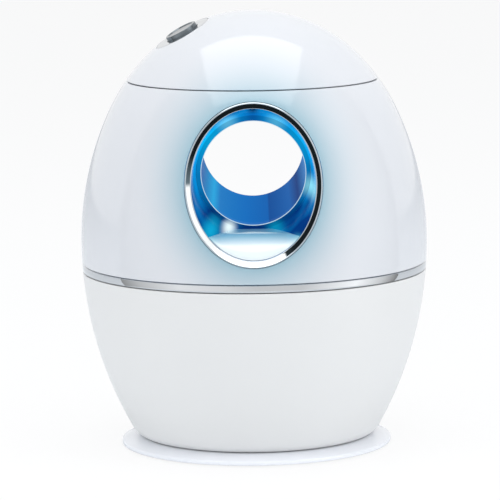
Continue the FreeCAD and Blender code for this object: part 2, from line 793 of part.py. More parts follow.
# ---- white sill in the bottom of the window ----
window_sill = new_body("window_sill", **front)
funnel(window_sill, "AdditiveLoft", "fill", "-slide_gap", "sill_back")
above = new_sketch(window_sill, "above_outline", "XZ_Plane", "body_radius / 2")
sill_reach = f"({window_bottom_reach} - sill_flat)"
sill_drop = "(sill_level - window_bottom - slide_gap)"
draw_outline(above, [
    ("sill_back - 2 * cut_past", "sill_level"),
    ("sill_flat", "sill_level"),
    (window_bottom_reach, f"sill_level - {sill_drop}"),
    (far, f"sill_level - {sill_drop}"),
    (far, "lid_seam"),
    ("sill_back - 2 * cut_past", "lid_seam"),
], {1: (f"({sill_reach}^2 + {sill_drop}^2) / (2 * {sill_drop})", -1)})
pocket(window_sill, "above", above, "body_radius")
revolve(window_sill, "front_edge", *egg_side(behind_bezel, far), cut=True)

# ---- light ring behind the bowl's flange ----
light_front = "(duct_front - light_height)"
light_board = new_body("light_board", **front_axis)
light_sketch = new_sketch(light_board, "board_outline", "YZ_Plane", f"{light_front} - light_board_thickness")
draw_circle(light_sketch, "light_board_outer")
draw_circle(light_sketch, "light_board_inner")
pad(light_board, "board", light_sketch, "light_board_thickness")
lights = new_body("lights", **front_axis)
light_middle = "((light_board_outer + light_board_inner) / 2)"
chip_sketch = new_sketch(lights, "light_outline", "YZ_Plane", light_front)
draw_box(chip_sketch, "-light_size / 2", "light_size / 2",
         f"{light_middle} - light_size / 2", f"{light_middle} + light_size / 2")
light = pad(lights, "light", chip_sketch, "light_height - pad_gap")
light_pattern = repeat_round(lights, "lights_round", light, "light_count")
light_pattern.Axis = (origin_feature(lights, "X_Axis"), [""])

# ---- upper shell ----
shell_low = "(band_bottom + band_height)"
upper_shell = new_body("upper_shell")
revolve(upper_shell, "wall", [
    (egg_radius("lower", shell_low), shell_low),
    ("body_radius", "widest_height"),
    egg_joint("side", "side_angle"),
    (egg_radius("shoulder", "lid_seam"), "lid_seam"),
    (egg_radius("shoulder", "lid_seam", "shell_wall"), "lid_seam"),
    egg_joint("side", "side_angle", "shell_wall"),
    ("body_radius - shell_wall", "widest_height"),
    (egg_radius("lower", shell_low, "shell_wall"), shell_low),
], {0: ("lower_arc", 1), 1: ("side_arc", 1), 2: ("shoulder_arc", 1),
    4: ("shoulder_arc - shell_wall", -1), 5: ("side_arc - shell_wall", -1), 6: ("lower_arc - shell_wall", -1)})
window_hole = new_sketch(upper_shell, "window_outline", "XZ_Plane", outside)
draw_ellipse(window_hole, "window_half_width + bezel_width + escutcheon_gap",
             f"{window_half_height} + bezel_width + escutcheon_gap", window_middle)
pocket(upper_shell, "window", window_hole, f"{outside} - {near}")
rear_hole = new_sketch(upper_shell, "rear_hole_outline", "XZ_Plane", f"-{near}")
draw_circle(rear_hole, "rear_ring_radius + escutcheon_gap", "0", "tube_height")
pocket(upper_shell, "rear_hole", rear_hole, f"{outside} - {near}")
grille_hole = new_sketch(upper_shell, "grille_hole_outline", "XZ_Plane", f"-{near}")
draw_box(grille_hole, "-grille_half_width - escutcheon_gap", "grille_half_width + escutcheon_gap",
         "grille_bottom - escutcheon_gap", "grille_top + escutcheon_gap")
pocket(upper_shell, "grille_hole", grille_hole, f"{outside} - {near}")

# ---- rear ring and intake grille: X points to the back ----
rear_ring = new_body("rear_ring", turn="90")
ring_sketch = new_sketch(rear_ring, "ring_outline", "YZ_Plane", "tube_rear + slide_gap")
draw_circle(ring_sketch, "rear_ring_radius", "0", "tube_height")
draw_circle(ring_sketch, "tube_bore", "0", "tube_height")
pad(rear_ring, "ring", ring_sketch, f"{outside} - tube_rear")
flare_end = new_sketch(rear_ring, "flare_outer", "YZ_Plane", f"{outside} + cut_past")
draw_circle(flare_end, "rear_ring_flare", "0", "tube_height")
flare_start = new_sketch(rear_ring, "flare_inner", "YZ_Plane", "tube_rear + slide_gap")
draw_circle(flare_start, "tube_bore", "0", "tube_height")
doc.recompute()
ring_volume = rear_ring.Shape.Volume
add_feature(rear_ring, "SubtractiveLoft", "flare", flare_start, Sections=[flare_end])
check_cut(rear_ring, ring_volume)
revolve(rear_ring, "outer_face", *egg_side("-rear_ring_proud", far), cut=True)

intake_grille = new_body("intake_grille", turn="90")
grille_sketch = new_sketch(intake_grille, "panel_outline", "YZ_Plane", "body_radius / 2")
draw_box(grille_sketch, "-grille_half_width", "grille_half_width", "grille_bottom", "grille_top")
pad(intake_grille, "panel", grille_sketch, f"{outside} - body_radius / 2")
doc.recompute()
revolve(intake_grille, "outer_face", *egg_side("0", far), cut=True)
revolve(intake_grille, "back_face", *egg_side("shell_wall", near), cut=True)
first_slot = "(-grille_pitch * (grille_slots - 1) / 2)"
slot_outline = new_sketch(intake_grille, "slot_outline", "YZ_Plane", outside)
draw_box(slot_outline, f"{first_slot} - grille_slot / 2", f"{first_slot} + grille_slot / 2",
         "grille_bottom + grille_margin", "grille_top - grille_margin")
grille_cut = pocket(intake_grille, "slot", slot_outline, f"{outside} - body_radius / 2")
repeat_line(intake_grille, "slots", grille_cut, slot_outline, "grille_pitch * (grille_slots - 1)", "grille_slots")

# ---- blower ----
blower_floor = f"({deck_top} + blower_wall)"
blower_rim = f"({deck_top} + blower_height)"
blower_housing = new_body("blower_housing", back="blower_back")
revolve(blower_housing, "cup", [
    ("0", deck_top),
    ("blower_radius", deck_top),
    ("blower_radius", blower_rim),
    ("blower_radius - blower_wall", blower_rim),
    ("blower_radius - blower_wall", blower_floor),
    ("0", blower_floor),
])
blower_cover = new_body("blower_cover", back="blower_back")
cover_sketch = new_sketch(blower_cover, "cover_outline", lift=blower_rim)
draw_circle(cover_sketch, "blower_radius")
draw_circle(cover_sketch, "cover_inlet")
draw_circle(cover_sketch, "air_inlet_bore", "0", "-air_inlet_forward - blower_back")
pad(blower_cover, "cover", cover_sketch, "cover_thickness")

motor_top = f"({blower_floor} + motor_height)"
motor = new_body("motor", back="blower_back")
revolve(motor, "can", [
    ("0", blower_floor),
    ("motor_radius", blower_floor),
    ("motor_radius", motor_top),
    ("shaft_radius + shaft_gap", motor_top),
    ("shaft_radius + shaft_gap", f"{blower_floor} + blower_wall"),
    ("0", f"{blower_floor} + blower_wall"),
])
shaft_bottom = f"({blower_floor} + blower_wall + slide_gap)"
motor_shaft = new_body("motor_shaft", back="blower_back")
shaft_sketch = new_sketch(motor_shaft, "shaft_outline", lift=shaft_bottom)
draw_circle(shaft_sketch, "shaft_radius")
pad(motor_shaft, "shaft", shaft_sketch, "shaft_length")

wheel_bottom = f"({blower_floor} + wheel_lift)"
hub_inner = "(motor_radius + wheel_hub_gap)"
hub_outer = f"({hub_inner} + wheel_hub_wall)"
hub_roof = f"({motor_top} + wheel_hub_gap)"
impeller = new_body("impeller", back="blower_back")
revolve(impeller, "hub", [
    ("shaft_radius + shaft_grip", hub_roof),
    (hub_inner, hub_roof),
    (hub_inner, wheel_bottom),
    ("wheel_radius", wheel_bottom),
    ("wheel_radius", f"{wheel_bottom} + wheel_plate"),
    (hub_outer, f"{wheel_bottom} + wheel_plate"),
    (hub_outer, f"{hub_roof} + wheel_hub_wall"),
    ("shaft_radius + shaft_grip", f"{hub_roof} + wheel_hub_wall"),
])
blade_sketch = new_sketch(impeller, "blade_outline", lift=f"{wheel_bottom} + wheel_plate / 2")
draw_outline(blade_sketch, [
    ("blade_inner", "0"),
    ("wheel_radius - blade_setback", "blade_sweep"),
    ("wheel_radius - blade_setback", "blade_sweep + blade_thickness"),
    ("blade_inner", "blade_thickness"),
])
blade = pad(impeller, "blade", blade_sketch, "wheel_height - wheel_plate / 2")
repeat_round(impeller, "blades", blade, "blade_count")

# ---- filling tray under the lid, and its pipe to the tank ----
tray_top = "(tray_floor + tray_floor_thickness)"
fill_tray = new_body("fill_tray")
revolve(fill_tray, "dish", [
    ("0", "tray_floor"),
    ("tray_radius", "tray_floor"),
    ("tray_radius", "tray_rim"),
    ("tray_radius - tray_wall", "tray_rim"),
    ("tray_radius - tray_wall", tray_top),
    ("0", tray_top),
])
pipe_outer = "(pipe_bore + pipe_wall)"
collar_inner = f"({pipe_outer} + slide_gap)"
collar_sketch = new_sketch(fill_tray, "collar_outline", lift="tray_floor - collar_height")
draw_circle(collar_sketch, f"{collar_inner} + collar_wall", "pipe_side", "pipe_back")
draw_circle(collar_sketch, collar_inner, "pipe_side", "pipe_back")
pad(fill_tray, "collar", collar_sketch, "collar_height")
drain_sketch = new_sketch(fill_tray, "drain_outline", lift=f"{tray_top} + cut_past")
draw_circle(drain_sketch, "pipe_bore", "pipe_side", "pipe_back")
pocket(fill_tray, "drain", drain_sketch, "tray_floor_thickness + cut_past")

fill_pipe = new_body("fill_pipe")
pipe_sketch = new_sketch(fill_pipe, "pipe_outline", lift=f"{deck_bottom} - pipe_dip")
draw_circle(pipe_sketch, pipe_outer, "pipe_side", "pipe_back")
draw_circle(pipe_sketch, "pipe_bore", "pipe_side", "pipe_back")
pad(fill_pipe, "pipe", pipe_sketch, f"tray_floor - slide_gap - ({deck_bottom} - pipe_dip)")

# ---- lid: X points to the push button ----
lid_bottom = "(lid_seam + seam_gap)"
skirt_radius = "(tray_radius - tray_wall - moving_gap)"
lid_top = f"({crown_level} + {crown_arc})"
lid = new_body("lid", turn="180 + button_turn")
revolve(lid, "dome", [
    (egg_radius("shoulder", lid_bottom), lid_bottom),
    egg_joint("shoulder", "shoulder_angle"),
    ("0", lid_top),
    ("0", f"{lid_top} - shell_wall"),
    egg_joint("shoulder", "shoulder_angle", "shell_wall"),
    (egg_radius("shoulder", "skirt_top", "shell_wall"), "skirt_top"),
    (f"{skirt_radius} - skirt_wall", "skirt_top"),
    (f"{skirt_radius} - skirt_wall", f"{lid_bottom} - skirt_drop"),
    (skirt_radius, f"{lid_bottom} - skirt_drop"),
    (skirt_radius, lid_bottom),
], {0: ("shoulder_arc", 1), 1: (crown_arc, 1), 3: (f"{crown_arc} - shell_wall", -1),
    4: ("shoulder_arc - shell_wall", -1)})


def leaning_hole(name, radius, level, depth):
    # a round hole in the lid along the button's axis
    sketch = lid.newObject("Sketcher::SketchObject", name + "_outline")
    sketch.AttachmentSupport = [(origin_feature(lid, "XY_Plane"), "")]
    sketch.MapMode = "FlatFace"
    start = f"({level} + trim_margin)"
    bind(sketch, "AttachmentOffset",
         f"placement(vector({start} * cos(button_elevation); 0; {crown_level} + {start} * sin(button_elevation));"
         f" rotation(0; 90 - button_elevation; 0))")
    draw_circle(sketch, radius)
    pocket(lid, name, sketch, f"trim_margin + {depth}")


leaning_hole("escutcheon_seat", "escutcheon_radius + escutcheon_gap", button_level, "escutcheon_thickness")
leaning_hole("cup_hole", "cup_bore + cup_wall + moving_gap", button_level, "cup_depth + shell_wall")

plain_ring("lid_seal", "tray_radius - tray_wall", "tray_radius", "tray_rim", lid_bottom)

# ---- push button: each body's Z axis leans along the button's axis, from the crown's centre ----
button_place = f"placement(vector(0; 0; {crown_level}); rotation(180 + button_turn; 90 - button_elevation; 0))"


def button_body(label):
    body = new_body(label)
    bind(body, "Placement", button_place)
    return body


cup_floor = f"({button_level} - cup_depth)"
button_escutcheon = button_body("button_escutcheon")
revolve(button_escutcheon, "cup", [
    ("cup_bore", button_level),
    ("cup_bore", f"{cup_floor} + cup_wall"),
    ("stem_radius + moving_gap", f"{cup_floor} + cup_wall"),
    ("stem_radius + moving_gap", cup_floor),
    ("cup_bore + cup_wall", cup_floor),
    ("cup_bore + cup_wall", f"{button_level} - escutcheon_thickness"),
    ("escutcheon_radius", f"{button_level} - escutcheon_thickness"),
    ("escutcheon_radius", button_level),
])
cap_bottom = f"({button_level} - cap_skirt)"
cap_top = f"({button_level} + cap_proud)"
cap_radius = "(cup_bore - moving_gap)"
stem_end = "(switch_level + press_gap + button_travel)"
power_button = button_body("power_button")
revolve(power_button, "cap", [
    ("0", stem_end),
    ("stem_radius", stem_end),
    ("stem_radius", cap_bottom),
    (cap_radius, cap_bottom),
    (cap_radius, f"{cap_top} - cap_round"),
    (f"{cap_radius} - cap_round", cap_top),
    ("0", cap_top),
], {4: ("cap_round", 1)})
coil_spring("button_spring", "return_spring_radius", f"{cup_floor} + cup_wall",
                            f"{cap_bottom} - button_travel", "return_spring_turns", button_body("button_spring"))
button_switch = button_body("button_switch")
switch_bottom = "(switch_level - plunger_height - switch_height)"
switch_sketch = new_sketch(button_switch, "case_outline", lift=switch_bottom)
draw_box(switch_sketch, "-switch_size / 2", "switch_size / 2", "-switch_size / 2", "switch_size / 2")
pad(button_switch, "case", switch_sketch, "switch_height")
plunger_sketch = new_sketch(button_switch, "plunger_outline", lift=f"{switch_bottom} + switch_height")
draw_circle(plunger_sketch, "plunger_radius")
pad(button_switch, "plunger", plunger_sketch, "plunger_height")

# the switch stands on a leaning post that is cut level with the tray's floor
post = doc.addObject("Part::Cylinder", "leaning_post")
bind(post, "Radius", "bracket_radius")
bind(post, "Height", "trim_reach")
post_start = f"({switch_bottom} - trim_reach)"
bind(post, "Placement",
     f"placement(vector(-{post_start} * cos(button_elevation) * cos(button_turn);"
     f" -{post_start} * cos(button_elevation) * sin(button_turn);"
     f" {crown_level} + {post_start} * sin(button_elevation));"
     f" rotation(180 + button_turn; 90 - button_elevation; 0))")
room = doc.addObject("Part::Cylinder", "room_above_tray")
bind(room, "Radius", f"{skirt_radius} - skirt_wall - moving_gap")
bind(room, "Height", f"{lid_top} - {tray_top}")
bind(room, "Placement.Base.z", tray_top)
switch_bracket = doc.addObject("Part::Common", "switch_bracket")
switch_bracket.Label = "switch_bracket"
switch_bracket.Base = post
switch_bracket.Tool = room

# ---- electronics in the bottom of the lower shell ----
control_board = new_body("control_board")
board_sketch = new_sketch(control_board, "board_outline", lift="board_level")
arm_end = f"({jack_reach} - jack_length + jack_mouth_depth)"
draw_outline(board_sketch, [
    ("-board_width / 2", "-board_depth / 2"),
    ("board_width / 2", "-board_depth / 2"),
    ("board_width / 2", "board_depth / 2"),
    ("jack_arm_width / 2", "board_depth / 2"),
    ("jack_arm_width / 2", arm_end),
    ("-jack_arm_width / 2", arm_end),
    ("-jack_arm_width / 2", "board_depth / 2"),
    ("-board_width / 2", "board_depth / 2"),
])
for side in (f"{post_across}", f"-{post_across}"):
    for end in (f"{post_along}", f"-{post_along}"):
        draw_circle(board_sketch, "board_screw_radius + screw_bore_gap", side, end)
pad(control_board, "board", board_sketch, "board_thickness")
board_screws = new_body("board_screws")
shanks = new_sketch(board_screws, "shanks_outline", lift=f"{board_top} - board_screw_length")
heads = new_sketch(board_screws, "heads_outline", lift=board_top)
for side in (f"{post_across}", f"-{post_across}"):
    for end in (f"{post_along}", f"-{post_along}"):
        draw_circle(shanks, "board_screw_radius", side, end)
        draw_circle(heads, "board_screw_head", side, end)
pad(board_screws, "shanks", shanks, "board_screw_length")
pad(board_screws, "heads", heads, "board_screw_head_height")
board_parts = new_body("board_parts")
chip_outline = new_sketch(board_parts, "chip_outline", lift=board_top)
draw_box(chip_outline, "-chip_size / 2", "chip_size / 2", "-chip_size / 2", "chip_size / 2")
pad(board_parts, "chip", chip_outline, "chip_height")
coil_outline = new_sketch(board_parts, "coil_outline", lift=board_top)
draw_circle(coil_outline, "coil_radius", "-2 * chip_size", "0")
pad(board_parts, "coil", coil_outline, "coil_height")
capacitor_outline = new_sketch(board_parts, "capacitor_outline", lift=board_top)
for end in ("-chip_size", "chip_size"):
    draw_circle(capacitor_outline, "capacitor_radius", "2 * chip_size", end)
pad(board_parts, "capacitors", capacitor_outline, "capacitor_height")
power_jack = new_body("power_jack", turn="90", up=jack_level)
jack_sketch = new_sketch(power_jack, "case_outline", "YZ_Plane", f"{jack_reach} - jack_length")
draw_box(jack_sketch, "-jack_width / 2", "jack_width / 2", "-jack_height / 2", "jack_height / 2")
pad(power_jack, "case", jack_sketch, "jack_length")
mouth_sketch = new_sketch(power_jack, "mouth_outline", "YZ_Plane", f"{jack_reach} + cut_past")
draw_box(mouth_sketch, "-jack_mouth_width / 2", "jack_mouth_width / 2",
         "-jack_mouth_height / 2", "jack_mouth_height / 2")
pocket(power_jack, "mouth", mouth_sketch, "jack_mouth_depth + cut_past")

# ---- check everything, then write one file for each sub-part ----
doc.recompute()
for thing in doc.Objects:
    if {"Invalid", "Error"} & set(thing.State):
        raise RuntimeError(f"{thing.Name} failed: {thing.State}")
used_inside = {post, room}
sub_parts = [thing for thing in doc.Objects
             if thing.TypeId in ("PartDesign::Body", "Part::Common") and thing not in used_inside]
for sub_part in sub_parts:
    if sub_part.Shape.isNull() or not sub_part.Shape.isValid():
        raise RuntimeError(f"{sub_part.Label} has no valid shape")
os.makedirs("parts", exist_ok=True)
for sub_part in sub_parts:
    sub_part.Shape.exportStep(f"parts/{sub_part.Label}.step")
    box = sub_part.Shape.BoundBox
    print(f"{sub_part.Label}: {len(sub_part.Shape.Solids)} solids, {sub_part.Shape.Volume:.1f} mm3,",
          f"z {box.ZMin:.1f} to {box.ZMax:.1f}")
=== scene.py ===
import json
import math
import bmesh
import bpy
from mathutils import Matrix, Vector


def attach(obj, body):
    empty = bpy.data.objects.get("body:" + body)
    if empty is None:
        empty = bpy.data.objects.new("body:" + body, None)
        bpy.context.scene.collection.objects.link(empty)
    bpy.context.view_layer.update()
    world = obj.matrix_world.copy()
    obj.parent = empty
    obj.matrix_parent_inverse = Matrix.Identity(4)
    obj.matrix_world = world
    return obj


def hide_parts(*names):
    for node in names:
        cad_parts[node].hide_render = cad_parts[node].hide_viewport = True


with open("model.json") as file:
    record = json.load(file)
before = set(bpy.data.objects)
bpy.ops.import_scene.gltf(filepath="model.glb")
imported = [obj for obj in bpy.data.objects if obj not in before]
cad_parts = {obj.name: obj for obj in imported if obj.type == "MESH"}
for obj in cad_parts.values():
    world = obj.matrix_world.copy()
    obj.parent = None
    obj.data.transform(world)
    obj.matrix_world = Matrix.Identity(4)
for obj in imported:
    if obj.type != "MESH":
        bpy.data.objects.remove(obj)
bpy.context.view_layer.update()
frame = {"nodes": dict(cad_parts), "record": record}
nodes = frame["nodes"]
mm = 0.001

# the egg

# four arcs that run into each other, from the foot up to the crown
egg = {
    "bodyRadius": 82.5 * mm,
    "widest": 98 * mm,
    "lowerArc": 182 * mm,
    "sideArc": 147 * mm,
    "shoulderArc": 95 * mm,
    "sideAngle": math.radians(25),
    "shoulderAngle": math.radians(46),
    "wall": 2.4 * mm,
}


def eggArcs():
    shift = egg["sideArc"] - egg["shoulderArc"]
    shoulderX = egg["bodyRadius"] - egg["sideArc"] + shift * math.cos(egg["sideAngle"])
    shoulderZ = egg["widest"] + shift * math.sin(egg["sideAngle"])
    crown = egg["shoulderArc"] + shoulderX / math.cos(egg["shoulderAngle"])
    crownZ = shoulderZ + (egg["shoulderArc"] - crown) * math.sin(egg["shoulderAngle"])
    sideTop = egg["widest"] + egg["sideArc"] * math.sin(egg["sideAngle"])
    shoulderTop = shoulderZ + egg["shoulderArc"] * math.sin(egg["shoulderAngle"])
    return [
        (egg["widest"], egg["bodyRadius"] - egg["lowerArc"], egg["widest"], egg["lowerArc"]),
        (sideTop, egg["bodyRadius"] - egg["sideArc"], egg["widest"], egg["sideArc"]),
        (shoulderTop, shoulderX, shoulderZ, egg["shoulderArc"]),
        (crownZ + crown, 0, crownZ, crown),
    ]


arcs = eggArcs()
crownHeight = arcs[3][2]
crownRadius = arcs[3][3]


def eggRadius(height, inset=0):
    # distance from the upright axis to the egg's surface, or to a surface that far inside it
    for top, across, up, radius in arcs:
        if height <= top:
            break
    reach = (radius - inset) ** 2 - (height - up) ** 2
    return across + math.sqrt(max(reach, 0))


def eggOutline(bottom, top, steps, inset=0):
    heights = [bottom + (top - bottom) * step / steps for step in range(steps + 1)]
    return [(eggRadius(height, inset), height) for height in heights]


# small tools

def clearSelection():
    if bpy.context.object and bpy.context.object.mode != "OBJECT":
        bpy.ops.object.mode_set(mode="OBJECT")
    bpy.ops.object.select_all(action="DESELECT")


def rename(name):
    piece = bpy.context.object
    piece.name = name
    piece.data.name = name
    return piece


def selectOnly(piece):
    clearSelection()
    piece.select_set(True)
    bpy.context.view_layer.objects.active = piece


def applyModifier(piece, kind, **settings):
    selectOnly(piece)
    modifier = piece.modifiers.new(kind.lower(), kind)
    for name, value in settings.items():
        setattr(modifier, name, value)
    bpy.ops.object.modifier_apply(modifier=modifier.name)


def cutWith(piece, cutter):
    applyModifier(piece, "BOOLEAN", operation="DIFFERENCE", object=cutter, solver="EXACT")
    bpy.data.objects.remove(cutter)


def smooth(piece, degrees=35):
    selectOnly(piece)
    bpy.ops.object.shade_smooth_by_angle(angle=math.radians(degrees))


def settle(piece, place):
    # moves the mesh, not the object, so the object stays at the origin
    piece.data.transform(place)
    return piece


def turnPiece(name, outline, steps=192, closed=True):
    # a closed outline of (radius, height) points, turned once round the upright axis
    clearSelection()
    bpy.ops.mesh.primitive_circle_add(vertices=3, radius=mm)
    piece = rename(name)
    bpy.ops.object.mode_set(mode="EDIT")
    bpy.ops.mesh.select_all(action="SELECT")
    bpy.ops.mesh.merge(type="CENTER")
    radius, height = outline[0]
    bpy.ops.transform.translate(value=(radius, 0, height))
    for (oldRadius, oldHeight), (radius, height) in zip(outline, outline[1:]):
        step = (radius - oldRadius, 0, height - oldHeight)
        bpy.ops.mesh.extrude_region_move(TRANSFORM_OT_translate={"value": step})
    if closed:
        bpy.ops.mesh.extrude_region_move(TRANSFORM_OT_translate={
            "value": (outline[0][0] - outline[-1][0], 0, outline[0][1] - outline[-1][1])})
    bpy.ops.mesh.select_all(action="SELECT")
    bpy.ops.mesh.remove_doubles(threshold=0.002 * mm)
    bpy.ops.mesh.spin(steps=steps, angle=2 * math.pi, center=(0, 0, 0), axis=(0, 0, 1))
    bpy.ops.mesh.select_all(action="SELECT")
    bpy.ops.mesh.remove_doubles(threshold=0.002 * mm)
    bpy.ops.mesh.normals_make_consistent(inside=False)
    bpy.ops.object.mode_set(mode="OBJECT")
    return piece


def stackRings(name, rings, count=192, side=-1):
    # upright ovals, one after another: (half width, half height, middle height, depth of a point)
    clearSelection()
    bpy.ops.mesh.primitive_circle_add(vertices=count, radius=1, rotation=(math.pi / 2, 0, 0))
    piece = rename(name)
    bpy.ops.object.transform_apply(location=False, rotation=True, scale=False)
    bpy.ops.object.mode_set(mode="EDIT")
    bpy.ops.mesh.select_all(action="SELECT")
    before = (1, 1, 0)
    for index, (halfWidth, halfHeight, middle, depth) in enumerate(rings):
        if index:
            bpy.ops.mesh.extrude_region_move()
        form = bmesh.from_edit_mesh(piece.data)
        for vertex in form.verts:
            if vertex.select:
                turn = math.atan2((vertex.co.z - before[2]) / before[1], vertex.co.x / before[0])
                x = halfWidth * math.cos(turn)
                z = middle + halfHeight * math.sin(turn)
                vertex.co = (x, side * depth(x, z), z)
        bmesh.update_edit_mesh(piece.data)
        before = (halfWidth, halfHeight, middle)
    bpy.ops.mesh.select_all(action="SELECT")
    bpy.ops.mesh.remove_doubles(threshold=0.002 * mm)
    bpy.ops.mesh.normals_make_consistent(inside=False)
    bpy.ops.object.mode_set(mode="OBJECT")
    return piece


def onEgg(inset):
    return lambda x, z: math.sqrt(max(eggRadius(z, inset) ** 2 - x * x, 0))


def atDepth(depth):
    return lambda x, z: depth


def roundedCorners(points, radius, steps=3):
    # rounds every corner of a closed outline of (radius, height) points
    outline = []
    for index, point in enumerate(points):
        corner = Vector(point)
        toward = Vector(points[index - 1]) - corner
        onward = Vector(points[(index + 1) % len(points)]) - corner
        size = min(radius, toward.length * 0.45, onward.length * 0.45)
        first = corner + toward.normalized() * size
        last = corner + onward.normalized() * size
        for step in range(steps + 1):
            share = step / steps
            bend = first.lerp(corner, share).lerp(corner.lerp(last, share), share)
            outline.append((bend.x, bend.y))
    return outline


# materials

def toLinear(hexColour):
    channels = [int(hexColour[place:place + 2], 16) / 255 for place in (1, 3, 5)]
    linear = [value / 12.92 if value <= 0.04045 else ((value + 0.055) / 1.055) ** 2.4 for value in channels]
    return (*linear, 1)


def addNode(tree, kind, settings=None, **inputs):
    # inputs are written by socket name, with _ for a space, as a value or as another node's output
    node = tree.nodes.new(kind)
    for name, value in (settings or {}).items():
        setattr(node, name, value)
    for name, value in inputs.items():
        socket = node.inputs[int(name[1:])] if name[1:].isdigit() else node.inputs[name.replace("_", " ")]
        if isinstance(value, bpy.types.NodeSocket):
            tree.links.new(value, socket)
        else:
            socket.default_value = value
    return node


def newMaterial(name, colour, roughness, **shader):
    material = bpy.data.materials.new(name)
    material.use_nodes = True
    tree = material.node_tree
    surface = tree.nodes["Principled BSDF"]
    surface.inputs["Base Color"].default_value = toLinear(colour)
    surface.inputs["Roughness"].default_value = roughness
    for socket, value in shader.items():
        surface.inputs[socket.replace("_", " ")].default_value = value
    return material, tree, surface


def fineTexture(tree, surface, sizeMm, depthMm, roughness, spread):
    # moulded or plated surfaces are never perfectly even: a slight bump, and gloss that varies with it
    place = addNode(tree, "ShaderNodeTexCoord").outputs["Object"]
    grain = addNode(tree, "ShaderNodeTexNoise", Vector=place, Scale=1 / (sizeMm * mm), Detail=3.0)
    bump = addNode(tree, "ShaderNodeBump", Height=grain.outputs["Fac"], Strength=0.6, Distance=depthMm * mm)
    tree.links.new(bump.outputs["Normal"], surface.inputs["Normal"])
    gloss = addNode(tree, "ShaderNodeMapRange", Value=grain.outputs["Fac"], To_Min=roughness - spread,
                    To_Max=roughness + spread)
    tree.links.new(gloss.outputs["Result"], surface.inputs["Roughness"])
    return place


def dress(piece, material):
    piece.data.materials.clear()
    piece.data.materials.append(material)


def finish(piece, material, body, slot, *replaced):
    dress(piece, material)
    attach(piece, body)
    if replaced:
        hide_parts(*replaced)


# camera and light

camera = {
    "place": (-2.02 * mm, -1710 * mm, 335.1 * mm),
    "down": 0.1406,
    "roll": -0.0128,
    "lens": 259.8,
    "sensor": 36,
}


def placeCamera():
    lens = bpy.data.cameras.new("portraitLens")
    lens.sensor_width = camera["sensor"]
    lens.lens = camera["lens"]
    lens.clip_end = 20
    eye = bpy.data.objects.new("camera", lens)
    bpy.context.scene.collection.objects.link(eye)
    aim = Matrix.Rotation(math.pi / 2 - camera["down"], 4, "X")
    eye.matrix_world = Matrix.Translation(camera["place"]) @ aim @ Matrix.Rotation(camera["roll"], 4, "Z")
    bpy.context.scene.camera = eye


studio = {
    "worldFill": 0.58,
    "floorColour": "#F4F6F8",
    "floorSize": 12,
    # name: (place, aim, width, height, watts)
    "lamps": {
        "topSoftbox": ((0, -0.1, 1.5), (0, 0, 0.1), 1.4, 1.4, 12),
        "leftSoftbox": ((-1.5, -0.7, 0.7), (0, 0, 0.1), 0.9, 1.2, 5),
        "rightSoftbox": ((1.5, -0.7, 0.7), (0, 0, 0.1), 0.9, 1.2, 7),
        "frontSoftbox": ((0, -2.2, 1.2), (0, 0, 0.1), 1.2, 0.8, 5),
    },
}


# a curved screen that only bright finishes reflect
# its light changes with the azimuth from the front, in degrees
screen = {
    "radius": 0.28,
    "low": -0.05,
    "high": 0.42,
    "strength": 1.6,
    "shades": [(-87, 0.27), (-72, 0.5), (-44, 0.78), (-20, 0.69), (0, 0.58), (27, 0.58), (61, 0.98),
               (82, 0.6), (97, 0.2)],
}


def lookFrom(place, aim):
    return (Vector(aim) - Vector(place)).to_track_quat("-Z", "Y").to_matrix().to_4x4()


def lightStudio():
    scene = bpy.context.scene
    scene.view_settings.view_transform = "Standard"
    for name, (place, aim, width, height, watts) in studio["lamps"].items():
        lamp = bpy.data.lights.new(name, "AREA")
        lamp.shape = "RECTANGLE"
        lamp.size = width
        lamp.size_y = height
        lamp.energy = watts
        holder = bpy.data.objects.new(name, lamp)
        scene.collection.objects.link(holder)
        holder.matrix_world = Matrix.Translation(place) @ lookFrom(place, aim)
    world = bpy.data.worlds.new("paleStudio")
    scene.world = world
    world.use_nodes = True
    tree = world.node_tree
    tree.nodes.clear()
    path = addNode(tree, "ShaderNodeLightPath")
    seen = addNode(tree, "ShaderNodeMath", {"operation": "MAXIMUM"},
                   _0=path.outputs["Is Camera Ray"], _1=path.outputs["Is Glossy Ray"])
    seen = addNode(tree, "ShaderNodeMath", {"operation": "MAXIMUM"},
                   _0=seen.outputs[0], _1=path.outputs["Is Transmission Ray"])
    fill = addNode(tree, "ShaderNodeBackground", Color=toLinear("#F3F7FC"), Strength=studio["worldFill"])
    white = addNode(tree, "ShaderNodeBackground", Color=(1, 1, 1, 1), Strength=1.0)
    mixed = addNode(tree, "ShaderNodeMixShader", Fac=seen.outputs[0], _1=fill.outputs[0], _2=white.outputs[0])
    addNode(tree, "ShaderNodeOutputWorld", Surface=mixed.outputs[0])


